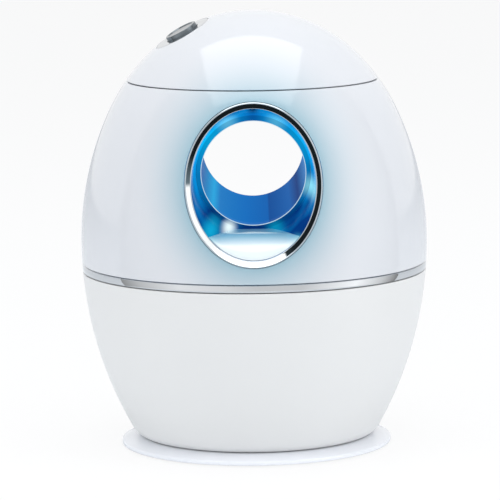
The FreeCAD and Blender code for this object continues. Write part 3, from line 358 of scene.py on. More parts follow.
def hangScreen():
    clearSelection()
    bpy.ops.mesh.primitive_cylinder_add(vertices=360, radius=screen["radius"],
                                        depth=screen["high"] - screen["low"], end_fill_type="NOTHING")
    piece = rename("curvedScreen")
    settle(piece, Matrix.Translation((0, 0, (screen["high"] + screen["low"]) / 2)))
    first, last = (math.radians(screen["shades"][index][0]) for index in (0, -1))
    form = bmesh.new()
    form.from_mesh(piece.data)
    spare = [face for face in form.faces
             if not first < math.atan2(face.calc_center_median().x, -face.calc_center_median().y) < last]
    bmesh.ops.delete(form, geom=spare, context="FACES")
    form.to_mesh(piece.data)
    form.free()
    material = bpy.data.materials.new("screenPaper")
    material.use_nodes = True
    tree = material.node_tree
    tree.nodes.clear()
    place = addNode(tree, "ShaderNodeTexCoord").outputs["Object"]
    split = addNode(tree, "ShaderNodeSeparateXYZ", Vector=place)
    ahead = addNode(tree, "ShaderNodeMath", {"operation": "MULTIPLY"}, _0=split.outputs["Y"], _1=-1.0)
    turn = addNode(tree, "ShaderNodeMath", {"operation": "ARCTAN2"}, _0=split.outputs["X"],
                   _1=ahead.outputs[0])
    share = addNode(tree, "ShaderNodeMapRange", Value=turn.outputs[0], From_Min=first, From_Max=last)
    ramp = addNode(tree, "ShaderNodeValToRGB", Fac=share.outputs[0])
    stops = ramp.color_ramp.elements
    for index, (azimuth, shade) in enumerate(screen["shades"]):
        position = (math.radians(azimuth) - first) / (last - first)
        ends = {0: 0, len(screen["shades"]) - 1: -1}
        stop = stops[ends[index]] if index in ends else stops.new(position)
        stop.color = (shade, shade, shade, 1)
    glow = addNode(tree, "ShaderNodeEmission", Color=ramp.outputs["Color"], Strength=screen["strength"])
    addNode(tree, "ShaderNodeOutputMaterial", Surface=glow.outputs[0])
    dress(piece, material)
    piece.visible_camera = False
    piece.visible_diffuse = False
    piece.visible_shadow = False
    piece.visible_transmission = False


def layFloor():
    clearSelection()
    bpy.ops.mesh.primitive_plane_add(size=studio["floorSize"])
    floor = rename("paleFloor")
    material, tree, surface = newMaterial("paintedPaleFloor", studio["floorColour"], 0.7)
    path = addNode(tree, "ShaderNodeLightPath")
    seen = addNode(tree, "ShaderNodeMath", {"operation": "MAXIMUM"},
                   _0=path.outputs["Is Camera Ray"], _1=path.outputs["Is Transmission Ray"])
    share = addNode(tree, "ShaderNodeMath", {"operation": "MULTIPLY"}, _0=seen.outputs[0], _1=0.86)
    glow = addNode(tree, "ShaderNodeEmission", Color=(1, 1, 1, 1), Strength=1.0)
    mixed = addNode(tree, "ShaderNodeMixShader", Fac=share.outputs[0], _1=surface.outputs[0],
                    _2=glow.outputs[0])
    tree.links.new(mixed.outputs[0], tree.nodes["Material Output"].inputs["Surface"])
    dress(floor, material)


placeCamera()
lightStudio()
hangScreen()
layFloor()
print("camera, light and floor are in place")

# finishes

window = {
    "halfWidth": 28.7 * mm,
    "bottom": 99.2 * mm,
    "top": 167.4 * mm,
    "bezelWidth": 3.1 * mm,
    "bezelDepth": 3.3 * mm,
    "gap": 0.15 * mm,
    # steps across the ring and into the egg, in mm, from its outer back edge to the inner bevel
    "bezelSection": [(3.1, 3.3), (3.1, 0.1), (3.02, -0.2), (2.85, -0.36), (2.6, -0.36), (2.4, -0.22),
                     (0.6, 1.5), (0.42, 1.62), (0.15, 1.66), (0.0, 1.8), (0.0, 3.3), (3.1, 3.3)],
}
window["middle"] = (window["top"] + window["bottom"]) / 2
window["halfHeight"] = (window["top"] - window["bottom"]) / 2


tube = {
    "height": 136 * mm,
    "bore": 25.1 * mm,
    "wall": 1.4 * mm,
    "front": 49 * mm,
    "rear": 66.5 * mm,
    "lipBore": 24.2 * mm,
    "lipLength": 3.2 * mm,
    "lipBulge": 0.6 * mm,
}


def shellGloss():
    # white ABS, moulded in a polished tool: a clear gloss over pale plastic
    # the lit window shines through it; this glow is painted into the base colour, which turns pale blue
    # towards the bezel
    material, tree, surface = newMaterial("mouldedGlossAbs", "#DBDDE1", 0.08, IOR=1.5)
    place = fineTexture(tree, surface, 9, 0.02, 0.09, 0.02)
    split = addNode(tree, "ShaderNodeSeparateXYZ", Vector=place)
    across = addNode(tree, "ShaderNodeMath", {"operation": "DIVIDE"}, _0=split.outputs["X"],
                     _1=window["halfWidth"] + window["bezelWidth"])
    lifted = addNode(tree, "ShaderNodeMath", {"operation": "SUBTRACT"}, _0=split.outputs["Z"],
                     _1=window["middle"])
    along = addNode(tree, "ShaderNodeMath", {"operation": "DIVIDE"}, _0=lifted.outputs[0],
                    _1=window["halfHeight"] + window["bezelWidth"])
    flat = addNode(tree, "ShaderNodeCombineXYZ", X=across.outputs[0], Y=along.outputs[0])
    distance = addNode(tree, "ShaderNodeVectorMath", {"operation": "LENGTH"}, _0=flat.outputs[0])
    near = addNode(tree, "ShaderNodeMapRange", Value=distance.outputs["Value"], From_Min=0.98, From_Max=1.8,
                   To_Min=1.0, To_Max=0.0)
    near = addNode(tree, "ShaderNodeMath", {"operation": "POWER"}, _0=near.outputs[0], _1=2.0)
    front = addNode(tree, "ShaderNodeMath", {"operation": "LESS_THAN"}, _0=split.outputs["Y"], _1=0.0)
    halo = addNode(tree, "ShaderNodeMath", {"operation": "MULTIPLY"}, _0=near.outputs[0], _1=front.outputs[0])
    # painted glow: the base colour is mixed towards pale blue near the window
    paintedLightTint = addNode(tree, "ShaderNodeMix", {"data_type": "RGBA"}, Factor=halo.outputs[0],
                   _6=toLinear("#DBDDE1"), _7=toLinear("#94B8C6"))
    tree.links.new(paintedLightTint.outputs[2], surface.inputs["Base Color"])
    return material


def plainFinish(name, colour, roughness, grainMm, depthMm, spread=0.03, **shader):
    material, tree, surface = newMaterial(name, colour, roughness, **shader)
    fineTexture(tree, surface, grainMm, depthMm, roughness, spread)
    return material


# painted light on the bowl: the uneven glow of the lamps behind it, painted highlights on its lower left and
# right, and painted shade at its top
# across and height in mm, reach in mm, strength, colour
paintedLightAndShadeSpots = [
    (-20, 152, 15, 0.9, "#08A4DC"),
    (21, 151, 15, 0.85, "#0A98D4"),
    (-12, 160, 7, 0.7, "#6CC4E4"),
    (11, 160, 7, 0.7, "#5CBCE0"),
    (26.5, 130, 7, 0.9, "#84D2E4"),
    (-11.7, 111, 5, 1.0, "#E8FAFC"),
    (-20, 112, 7, 0.8, "#10B4DC"),
    (10, 110.5, 6, 0.6, "#0AA4CC"),
    (21, 107, 5, 0.8, "#58D0E4"),
    (0, 162, 8, 0.7, "#053C90"),
    (0, 167, 4, 0.9, "#04142C"),
]


def spotMix(tree, place, colour, spots):
    split = addNode(tree, "ShaderNodeSeparateXYZ", Vector=place)
    flat = addNode(tree, "ShaderNodeCombineXYZ", X=split.outputs["X"], Z=split.outputs["Z"])
    for across, height, reach, strength, hue in spots:
        distance = addNode(tree, "ShaderNodeVectorMath", {"operation": "DISTANCE"}, _0=flat.outputs[0],
                           _1=(across * mm, 0, height * mm))
        fade = addNode(tree, "ShaderNodeMapRange", {"interpolation_type": "SMOOTHSTEP"},
                       Value=distance.outputs["Value"], From_Min=0.0, From_Max=reach * mm,
                       To_Min=strength, To_Max=0.0)
        mixed = addNode(tree, "ShaderNodeMix", {"data_type": "RGBA"}, Factor=fade.outputs[0], _6=colour,
                        _7=toLinear(hue))
        colour = mixed.outputs[2]
    return colour


def litBlue(name, base, shine, index, wall=False):
    # blue polycarbonate lit from behind by small lamps, their glow painted in as emission that grows brighter
    # upwards: the glow drowns most of what it reflects
    material, tree, surface = newMaterial(name, base, 0.16, IOR=index)
    place = fineTexture(tree, surface, 14, 0.05, 0.16, 0.03)
    split = addNode(tree, "ShaderNodeSeparateXYZ", Vector=place)
    cloud = addNode(tree, "ShaderNodeTexNoise", Vector=place, Scale=1 / (16 * mm), Detail=1.0)
    level = addNode(tree, "ShaderNodeMapRange", Value=split.outputs["Z"], From_Min=112 * mm,
                    From_Max=148 * mm, To_Min=-0.25, To_Max=0.3)
    light = addNode(tree, "ShaderNodeMath", {"operation": "ADD"}, _0=cloud.outputs["Fac"],
                    _1=level.outputs[0])
    ramp = addNode(tree, "ShaderNodeValToRGB", Fac=light.outputs[0])
    ramp.color_ramp.elements[0].position = 0.2
    ramp.color_ramp.elements[0].color = toLinear("#032E70")
    ramp.color_ramp.elements[1].position = 0.75
    ramp.color_ramp.elements[1].color = toLinear("#0886CA")
    colour = spotMix(tree, place, ramp.outputs["Color"], paintedLightAndShadeSpots)
    if wall:
        colour = tubeWall(tree, place, split, colour)
    tree.links.new(colour, surface.inputs["Emission Color"])
    surface.inputs["Emission Strength"].default_value = shine
    return material


# the tube's inside, by how far across it is, in mm: painted streaks of light and shade, painted reflections
# that run its whole length
streaks = [
    (-25, "#06509E"),
    (-19, "#10A8E4"),
    (-16, "#067CC8"),
    (-4, "#0070C4"),
    (6.8, "#0064B8"),
    (7.4, "#00509E"),
    (17, "#0560B0"),
    (21, "#043A80"),
    (25, "#0674BE"),
]


def tubeWall(tree, place, split, frontColour):
    share = addNode(tree, "ShaderNodeMapRange", Value=split.outputs["X"], From_Min=-25 * mm, From_Max=25 * mm)
    ramp = addNode(tree, "ShaderNodeValToRGB", Fac=share.outputs[0])
    stops = ramp.color_ramp.elements
    for index, (across, hue) in enumerate(streaks):
        position = (across + 25) / 50
        stop = stops[0] if index == 0 else stops.new(position) if index < len(streaks) - 1 else stops[-1]
        stop.position = position
        stop.color = toLinear(hue)
    centre = (0, 0, tube["height"])
    moved = addNode(tree, "ShaderNodeVectorMath", {"operation": "SUBTRACT"}, _0=place, _1=centre)
    flat = addNode(tree, "ShaderNodeVectorMath", {"operation": "MULTIPLY"}, _0=moved.outputs[0], _1=(1, 0, 1))
    radius = addNode(tree, "ShaderNodeVectorMath", {"operation": "LENGTH"}, _0=flat.outputs[0])
    inside = addNode(tree, "ShaderNodeMath", {"operation": "LESS_THAN"}, _0=radius.outputs["Value"],
                     _1=tube["bore"] + 0.05 * mm)
    behind = addNode(tree, "ShaderNodeMath", {"operation": "GREATER_THAN"}, _0=split.outputs["Y"],
                     _1=-tube["front"] + 0.15 * mm)
    isWall = addNode(tree, "ShaderNodeMath", {"operation": "MULTIPLY"}, _0=inside.outputs[0],
                     _1=behind.outputs[0])
    mixed = addNode(tree, "ShaderNodeMix", {"data_type": "RGBA"}, Factor=isWall.outputs[0], _6=frontColour,
                    _7=ramp.outputs["Color"])
    # painted highlight: the front lip of the tube is painted pale blue-white
    near = addNode(tree, "ShaderNodeMath", {"operation": "LESS_THAN"}, _0=radius.outputs["Value"],
                   _1=tube["lipBore"] + 0.3 * mm)
    ahead = addNode(tree, "ShaderNodeMath", {"operation": "LESS_THAN"}, _0=split.outputs["Y"],
                    _1=-tube["front"] + 0.15 * mm)
    isLip = addNode(tree, "ShaderNodeMath", {"operation": "MULTIPLY"}, _0=near.outputs[0],
                    _1=ahead.outputs[0])
    lip = addNode(tree, "ShaderNodeMix", {"data_type": "RGBA"}, Factor=isLip.outputs[0], _6=mixed.outputs[2],
                  _7=toLinear("#CBE6F6"))
    return lip.outputs[2]


def paintedReflectionBezel():
    # dark nickel over most of the ring, and a painted reflection of a light over its lower left, painted
    # bright there
    material, tree, surface = newMaterial("nickelPaintedReflection", "#202628", 0.12, Metallic=1.0)
    place = fineTexture(tree, surface, 12, 0.01, 0.12, 0.02)
    split = addNode(tree, "ShaderNodeSeparateXYZ", Vector=place)
    lifted = addNode(tree, "ShaderNodeMath", {"operation": "SUBTRACT"}, _0=split.outputs["Z"],
                     _1=window["middle"])
    turn = addNode(tree, "ShaderNodeMath", {"operation": "ARCTAN2"}, _0=split.outputs["X"],
                   _1=lifted.outputs[0])
    share = addNode(tree, "ShaderNodeMapRange", Value=turn.outputs[0], From_Min=-math.pi, From_Max=math.pi)
    # painted reflection: bright round the lower left, dark nickel over the top and right
    ramp = addNode(tree, "ShaderNodeValToRGB", Fac=share.outputs[0])
    bright = toLinear("#F0F4F6")
    dark = toLinear("#151B1E")
    stops = ramp.color_ramp.elements
    stops[0].position = 0.0
    stops[0].color = bright
    stops[1].position = 0.245
    stops[1].color = bright
    for position, colour in ((0.255, toLinear("#5C6C74")), (0.32, dark), (0.93, dark), (0.94, bright)):
        stops.new(position).color = colour
    # painted highlight: the ring's outer and inner edges are painted light grey
    flat = addNode(tree, "ShaderNodeMath", {"operation": "DIVIDE"}, _0=split.outputs["X"],
                   _1=window["halfWidth"] + 2.3 * mm)
    tall = addNode(tree, "ShaderNodeMath", {"operation": "DIVIDE"}, _0=lifted.outputs[0],
                   _1=window["halfHeight"] + 2.3 * mm)
    both = addNode(tree, "ShaderNodeCombineXYZ", X=flat.outputs[0], Y=tall.outputs[0])
    reach = addNode(tree, "ShaderNodeVectorMath", {"operation": "LENGTH"}, _0=both.outputs[0])
    isRim = addNode(tree, "ShaderNodeMath", {"operation": "GREATER_THAN"}, _0=reach.outputs["Value"], _1=1.0)
    isInner = addNode(tree, "ShaderNodeMath", {"operation": "LESS_THAN"}, _0=reach.outputs["Value"], _1=0.941)
    isEdge = addNode(tree, "ShaderNodeMath", {"operation": "MAXIMUM"}, _0=isRim.outputs[0],
                     _1=isInner.outputs[0])
    mixed = addNode(tree, "ShaderNodeMix", {"data_type": "RGBA"}, Factor=isEdge.outputs[0],
                    _6=ramp.outputs["Color"], _7=toLinear("#AEB8C0"))
    tree.links.new(mixed.outputs[2], surface.inputs["Base Color"])
    return material


def sillWhite():
    # glossy white plastic with painted blue light at its back edge, in its colour and in a faint painted glow
    material, tree, surface = newMaterial("sillGlossAbs", "#E4F0F2", 0.15, IOR=1.5, Coat_Weight=0.3)
    place = fineTexture(tree, surface, 8, 0.02, 0.15, 0.03)
    split = addNode(tree, "ShaderNodeSeparateXYZ", Vector=place)
    # painted light: the colour turns blue towards the back edge, and glows faintly
    height = addNode(tree, "ShaderNodeMapRange", {"interpolation_type": "SMOOTHSTEP"},
                     Value=split.outputs["Z"], From_Min=105.5 * mm, From_Max=110.2 * mm)
    paintedLightTint = addNode(tree, "ShaderNodeMix", {"data_type": "RGBA"}, Factor=height.outputs[0],
                   _6=toLinear("#E0EAEC"), _7=toLinear("#86BCCB"))
    tree.links.new(paintedLightTint.outputs[2], surface.inputs["Base Color"])
    tree.links.new(paintedLightTint.outputs[2], surface.inputs["Emission Color"])
    surface.inputs["Emission Strength"].default_value = 0.12
    return material


glossAbs = shellGloss()
satinAbs = plainFinish("mouldedSatinAbs", "#E4E4E3", 0.34, 1.2, 0.006, IOR=1.53)  # fine spark-eroded tool
footAbs = plainFinish("mouldedFootAbs", "#F8FAFF", 0.16, 8, 0.02, IOR=1.53)
chrome = plainFinish("platedChrome", "#C8CBCE", 0.05, 20, 0.01, 0.01, Metallic=1.0)  # bright plated plastic
capSteel = plainFinish("platedCapSteel", "#6E757A", 0.1, 20, 0.01, 0.02, Metallic=1.0)
bowlBlue = litBlue("litBowlPolycarbonate", "#021838", 0.95, 1.2)
tubeBlue = litBlue("litTubePolycarbonate", "#000A1C", 0.92, 1.005, wall=True)
bezelNickelPaintedReflection = paintedReflectionBezel()
sillFinish = sillWhite()

# the pieces that are seen only with the lid off, from below or through the back
slotFinishes = {
    "gloss_shell": glossAbs,
    "satin_shell": satinAbs,
    "base_plastic": footAbs,
    "chrome_trim": chrome,
    "light_plastic": bowlBlue,
    "sill_plastic": sillFinish,
    "tank_plastic": plainFinish("mouldedPolypropylene", "#C9D8E2", 0.3, 5, 0.02, IOR=1.49),
    "inner_plastic": plainFinish("mouldedPlainAbs", "#D4D6D8", 0.42, 1.5, 0.01, IOR=1.53),
    "dark_plastic": plainFinish("mouldedNylon", "#17181A", 0.45, 1.0, 0.01, IOR=1.53),
    "rubber_grey": plainFinish("mouldedSilicone", "#7C7F82", 0.62, 0.8, 0.02, IOR=1.41),
    "wick_fibre": plainFinish("bondedCottonFibre", "#EEEBE2", 0.92, 0.35, 0.12, 0.04),
    "spring_steel": plainFinish("drawnSpringSteel", "#A8A9AB", 0.28, 0.4, 0.004, 0.05, Metallic=1.0),
    "bright_steel": plainFinish("zincPlatedSteel", "#B6B8BB", 0.3, 0.8, 0.006, 0.06, Metallic=1.0),
    "disc_metal": plainFinish("rolledBrass", "#C0A15A", 0.3, 0.5, 0.004, 0.05, Metallic=1.0),
    "circuit_board": plainFinish("solderMaskedEpoxy", "#0B4A2C", 0.3, 2.0, 0.02, 0.08, IOR=1.52),
    "board_parts": plainFinish("mouldedEpoxy", "#1C1C1F", 0.4, 0.8, 0.01, IOR=1.55),
    "led": plainFinish("castLampEpoxy", "#CFE4F4", 0.12, 2.0, 0.01, IOR=1.54),
}
for part in frame["record"]["subparts"]:
    dress(nodes[part["node"]], slotFinishes[part["material_slot"]])
print("finishes are made")

# foot, lower shell and trim band

foot = {
    "radius": 64.6 * mm,
    "bottom": 0.8 * mm,
    "rim": 2 * mm,
    "top": 5 * mm,
    "eggEdge": 56 * mm,
    "ringInner": 43 * mm,
    "wall": 2.4 * mm,
    "padRadius": 5.1 * mm,
    "padDepth": 1.2 * mm,
    "padCircle": 56 * mm,
    "screwHead": 3.0 * mm,
    "screwCircle": 48 * mm,
    "screwDepth": 2.2 * mm,
    "round": 0.8 * mm,
}


def roundCutter(radius, bottom, top, x, y, sides=48):
    clearSelection()
    bpy.ops.mesh.primitive_cylinder_add(vertices=sides, radius=radius, depth=top - bottom,
                                        location=(x, y, (top + bottom) / 2))
    return rename("cutter")


def boxCutter(low, high):
    clearSelection()
    bpy.ops.mesh.primitive_cube_add(size=1, location=[(a + b) / 2 for a, b in zip(low, high)],
                                    scale=[b - a for a, b in zip(low, high)])
    return rename("cutter")


def makeFoot():
    outline = roundedCorners([
        (foot["ringInner"], foot["top"] - foot["wall"]),
        (foot["ringInner"], foot["bottom"]),
        (foot["radius"], foot["bottom"]),
        (foot["radius"], foot["bottom"] + foot["rim"]),
        (foot["eggEdge"], foot["top"]),
        (0.2 * mm, foot["top"]),
        (0.2 * mm, foot["top"] - foot["wall"]),
    ], foot["round"])
    outline = [(0, z) if r < 1 * mm else (r, z) for r, z in outline]
    disc = turnPiece("footDisc", outline)
    for quarter in range(4):
        turn = math.radians(90 * quarter)
        x, y = foot["screwCircle"] * math.cos(turn), foot["screwCircle"] * math.sin(turn)
        cutWith(disc, roundCutter(foot["screwHead"], -1 * mm, foot["bottom"] + foot["screwDepth"], x, y))
        turn += math.radians(45)
        x, y = foot["padCircle"] * math.cos(turn), foot["padCircle"] * math.sin(turn)
        cutWith(disc, roundCutter(foot["padRadius"], -1 * mm, foot["bottom"] + foot["padDepth"], x, y))
    smooth(disc)
    finish(disc, footAbs, "housing", "base_plastic", "base_foot")


lower = {
    "bottom": 5 * mm,
    "bandBottom": 84.2 * mm,
    "bottomRound": 8 * mm,
    "flangeInner": 44 * mm,
    "edge": 0.25 * mm,
    "socketBox": ((-4.7 * mm, 50 * mm, 16.4 * mm), (4.7 * mm, 75 * mm, 20.8 * mm)),
}


def cornerOutline(radius, steps=10):
    # the round that closes the egg onto its foot, tangent to its lower arc
    level = lower["bottom"] + lower["bottomRound"]
    drop = egg["widest"] - level
    reach = egg["lowerArc"] - lower["bottomRound"]
    centre = egg["bodyRadius"] - egg["lowerArc"] + math.sqrt(reach ** 2 - drop ** 2)
    last = -math.asin(drop / reach)
    points = []
    for step in range(steps + 1):
        turn = -math.pi / 2 + (last + math.pi / 2) * step / steps
        points.append((centre + radius * math.cos(turn), level + radius * math.sin(turn)))
    return points


def makeLowerShell():
    outside = cornerOutline(lower["bottomRound"])
    inside = cornerOutline(lower["bottomRound"] - egg["wall"])
    edge = lower["edge"]
    top = lower["bandBottom"]
    outline = outside[:-1] + eggOutline(outside[-1][1], top - edge, 40)
    outline += [(eggRadius(top) - edge, top)]
    outline += [(eggRadius(top, egg["wall"]), top)]
    outline += eggOutline(inside[-1][1], top - edge, 24, egg["wall"])[::-1] + inside[:-1][::-1]
    outline += [(lower["flangeInner"], lower["bottom"] + egg["wall"]),
                (lower["flangeInner"], lower["bottom"])]
    shell = turnPiece("lowerShell", outline, steps=224)
    cutWith(shell, boxCutter(*lower["socketBox"]))
    smooth(shell)
    finish(shell, satinAbs, "housing", "satin_shell", "lower_shell")


band = {
    "bottom": 84.5 * mm,
    "top": 88.2 * mm,
    "wall": 2.2 * mm,
    "round": 0.35 * mm,
    "crown": 0.12 * mm,
}


def makeBand():
    low, high = band["bottom"], band["top"]
    outline = []
    steps = 12
    for step in range(steps + 1):
        share = step / steps
        height = low + (high - low) * share
        edge = min(share, 1 - share) * (high - low)
        sink = band["round"] - math.sqrt(max(band["round"] ** 2 - max(band["round"] - edge, 0) ** 2, 0))
        bulge = band["crown"] * (1 - (2 * share - 1) ** 2)
        outline.append((eggRadius(height) - band["crown"] - sink + bulge, height))
    outline += [(eggRadius(high, band["wall"]), high), (eggRadius(low, band["wall"]), low)]
    trim = turnPiece("trimBand", outline, steps=256)
    smooth(trim, 40)
    finish(trim, chrome, "housing", "chrome_trim", "trim_band")


makeFoot()
makeLowerShell()
makeBand()
print("foot, lower shell and band are modelled")

# upper shell and lid

upper = {
    "bottom": 88.5 * mm,
    "seam": 175 * mm,
    "seamGap": 0.4 * mm,
    "edge": 0.3 * mm,
    "rearHole": 31.15 * mm,
    "tubeHeight": 136 * mm,
    "grille": ((-27.15 * mm, 40 * mm, 91.35 * mm), (27.15 * mm, 95 * mm, 102.65 * mm)),
}


def ovalCutter(halfWidth, halfHeight, middle, near, far):
    # an upright oval bar along Y
    clearSelection()
    bpy.ops.mesh.primitive_cylinder_add(vertices=256, radius=1, depth=abs(far - near),
                                        location=(0, (near + far) / 2, middle), rotation=(math.pi / 2, 0, 0))
    bar = rename("cutter")
    bar.scale = (halfWidth, halfHeight, 1)
    bpy.ops.object.transform_apply(location=True, rotation=True, scale=True)
    return bar


def makeUpperShell():
    edge = upper["edge"]
    low, high = upper["bottom"], upper["seam"]
    outline = [(eggRadius(low) - edge, low)] + eggOutline(low + edge, high - edge, 56)
    outline += [(eggRadius(high - edge) - edge * 0.9, high), (eggRadius(high, egg["wall"]), high)]
    outline += eggOutline(low, high - edge, 36, egg["wall"])[::-1]
    shell = turnPiece("upperShell", outline, steps=256)
    rim = window["bezelWidth"] + window["gap"]
    cutWith(shell, ovalCutter(window["halfWidth"] + rim, window["halfHeight"] + rim, window["middle"],
                              -95 * mm, -30 * mm))
    cutWith(shell, ovalCutter(upper["rearHole"], upper["rearHole"], upper["tubeHeight"], 30 * mm, 95 * mm))
    cutWith(shell, boxCutter(*upper["grille"]))
    smooth(shell)
    finish(shell, glossAbs, "housing", "gloss_shell", "upper_shell")


lid = {
    "skirtOuter": 54.8 * mm,
    "skirtInner": 53.0 * mm,
    "skirtDrop": 3 * mm,
    "skirtTop": 178.5 * mm,
}

button = {
    "turn": math.radians(190),
    "lean": math.radians(29),
    "ringRadius": 14 * mm,
    "ringThickness": 1 * mm,
    "ringGap": 0.15 * mm,
    "cupBore": 8.3 * mm,
    "cupWall": 1.2 * mm,
    "cupDepth": 9 * mm,
    "capRadius": 7.9 * mm,
    "capProud": 2 * mm,
    "capSkirt": 2 * mm,
    "capDish": 0.35 * mm,
    "stemRadius": 2 * mm,
    "stemGap": 0.4 * mm,
    "stemEnd": 51.4 * mm,
    "round": 0.35 * mm,
}
button["level"] = math.sqrt(crownRadius ** 2 - button["ringRadius"] ** 2)
buttonPlace = (Matrix.Translation((0, 0, crownHeight)) @ Matrix.Rotation(button["turn"], 4, "Z")
               @ Matrix.Rotation(button["lean"], 4, "Y"))


def makeLid():
    edge = upper["edge"]
    low = upper["seam"] + upper["seamGap"]
    top = crownHeight + crownRadius
    outline = [(eggRadius(low + edge) - edge, low)] + eggOutline(low + edge, 190 * mm, 20)
    steps = 36
    first = math.asin((190 * mm - crownHeight) / crownRadius)
    for step in range(1, steps + 1):
        turn = first + (math.pi / 2 - first) * step / steps
        outline.append((crownRadius * math.cos(turn), crownHeight + crownRadius * math.sin(turn)))
    outline[-1] = (0, top)
    inner = crownRadius - egg["wall"]
    first = math.asin((188 * mm - crownHeight) / inner)
    for step in range(steps + 1):
        turn = math.pi / 2 - (math.pi / 2 - first) * step / steps
        outline.append((inner * math.cos(turn), crownHeight + inner * math.sin(turn)))
    outline[-steps - 1] = (0, top - egg["wall"])
    outline += eggOutline(lid["skirtTop"], 187 * mm, 10, egg["wall"])[::-1]
    outline += [(lid["skirtInner"], lid["skirtTop"]), (lid["skirtInner"], low - lid["skirtDrop"]),
                (lid["skirtOuter"], low - lid["skirtDrop"]), (lid["skirtOuter"], low)]
    cap = turnPiece("lidShell", outline, steps=256)
    for radius, depth in ((button["ringRadius"] + button["ringGap"], button["ringThickness"]),
                          (button["cupBore"] + button["cupWall"] + button["stemGap"], 14 * mm)):
        cutter = roundCutter(radius, button["level"] - depth, button["level"] + 6 * mm, 0, 0, 160)
        cutter.data.transform(Matrix.Translation(cutter.location))
        cutter.location = (0, 0, 0)
        settle(cutter, buttonPlace)
        cutWith(cap, cutter)
    smooth(cap)
    finish(cap, glossAbs, "lid", "gloss_shell", "lid")


def makeButton():
    level = button["level"]
    floor = level - button["cupDepth"]
    wall = button["cupWall"]
    outline = roundedCorners([
        (button["ringRadius"], level - button["ringThickness"]),
        (button["ringRadius"], level),
        (button["cupBore"], level),
        (button["cupBore"], floor + wall),
        (button["stemRadius"] + button["stemGap"], floor + wall),
        (button["stemRadius"] + button["stemGap"], floor),
        (button["cupBore"] + wall, floor),
        (button["cupBore"] + wall, level - button["ringThickness"]),
    ], button["round"])
    ring = settle(turnPiece("buttonRing", outline, steps=160), buttonPlace)
    smooth(ring, 50)
    finish(ring, chrome, "lid", "chrome_trim", "button_escutcheon")
    top = level + button["capProud"]
    radius = button["capRadius"]
    side = roundedCorners([
        (button["stemRadius"], level - button["capSkirt"]),
        (radius, level - button["capSkirt"]),
        (radius, top),
        (radius * 0.86, top - 0.02 * mm),
        (radius * 0.8, top - button["capDish"]),
    ], 0.6 * mm, 5)[1:-1]
    outline = [(0, button["stemEnd"]), (button["stemRadius"], button["stemEnd"])] + side
    steps = 8
    for step in range(1, steps + 1):
        share = 1 - step / steps
        outline.append((radius * 0.78 * share, top - button["capDish"] * (1.3 - 0.3 * share)))
    cap = settle(turnPiece("buttonCap", outline, steps=160), buttonPlace)
    smooth(cap, 50)
    finish(cap, capSteel, "button", "chrome_trim", "power_button")


makeUpperShell()
makeLid()
makeButton()
print("upper shell, lid and button are modelled")

# window: bezel, bowl, tube and sill

bowl = {
    "throat": 26.7 * mm,
    "throatDepth": 47 * mm,
    "wall": 1.6 * mm,
    "flange": 33 * mm,
    "flangeDepth": 48.6 * mm,
    "steps": 18,
    "curve": 0.8,
}


def makeBezel():
    rings = [(window["halfWidth"] + step * mm, window["halfHeight"] + step * mm, window["middle"],
              onEgg(inset * mm)) for step, inset in window["bezelSection"]]
    bezel = stackRings("windowBezel", rings, 224)
    smooth(bezel, 30)
    finish(bezel, bezelNickelPaintedReflection, "housing", "chrome_trim", "window_bezel")


def bowlRing(share, growth=0):
    # share 0 is the bezel's inner edge, 1 the throat round the tube
    blend = share ** bowl["curve"]
    halfWidth = window["halfWidth"] + (bowl["throat"] - window["halfWidth"]) * blend + growth
    halfHeight = window["halfHeight"] + (bowl["throat"] - window["halfHeight"]) * blend + growth
    middle = window["middle"] + (tube["height"] - window["middle"]) * blend
    rim = onEgg(window["bezelDepth"] + 0.1 * mm)
    return (halfWidth, halfHeight, middle,
            lambda x, z: rim(x, z) + (bowl["throatDepth"] - rim(x, z)) * share)


def makeBowl():
    steps = bowl["steps"]
    centre = tube["height"]
    rings = [bowlRing(step / steps) for step in range(steps + 1)]
    rings += [(bowl["flange"], bowl["flange"], centre, atDepth(bowl["throatDepth"])),
              (bowl["flange"], bowl["flange"], centre, atDepth(bowl["flangeDepth"]))]
    rings += [bowlRing(step / steps, bowl["wall"]) for step in range(steps - 2, -1, -1)]
    rings.append(bowlRing(0))
    piece = stackRings("lightBowl", rings, 224)
    smooth(piece, 40)
    finish(piece, bowlBlue, "housing", "light_plastic", "light_bowl")


def makeTube():
    outer = tube["bore"] + tube["wall"]
    lip = tube["lipBore"]
    outline = [(tube["bore"], -tube["rear"]), (outer, -tube["rear"]), (outer, tube["front"] - 0.5 * mm)]
    steps = 8
    middle, half = (outer + lip) / 2, (outer - lip) / 2
    for step in range(steps + 1):
        turn = math.pi * step / steps
        outline.append((middle + half * math.cos(turn), tube["front"] + tube["lipBulge"] * math.sin(turn)))
    outline += [(lip + 0.05 * mm, tube["front"] - 1.2 * mm),
                (tube["bore"], tube["front"] - tube["lipLength"])]
    outline += [(tube["bore"], tube["front"] - tube["lipLength"] - 12 * mm * step) for step in range(1, 8)]
    piece = turnPiece("airTube", outline, steps=192)
    settle(piece, Matrix.Translation((0, 0, tube["height"])) @ Matrix.Rotation(math.pi / 2, 4, "X"))
    smooth(piece, 40)
    finish(piece, tubeBlue, "housing", "light_plastic", "air_tube")


sill = {
    "level": 110 * mm,
    "backDepth": 49.7 * mm,
    "flatDepth": 62 * mm,
    "columns": 72,
    "rows": 36,
    "thickness": 1.4 * mm,
    "gap": 0.15 * mm,
}


def bowlDepthAt(x, z):
    # how deep in the bowl a point of its wall lies, searched from the throat to the rim
    low, high = 0.0, 1.0
    for tries in range(40):
        share = (low + high) / 2
        halfWidth, halfHeight, middle, depth = bowlRing(share, -sill["gap"])
        inside = (x / halfWidth) ** 2 + ((z - middle) / halfHeight) ** 2 < 1
        if inside:
            low = share
        else:
            high = share
    return bowlRing(low, -sill["gap"])[3](x, z)


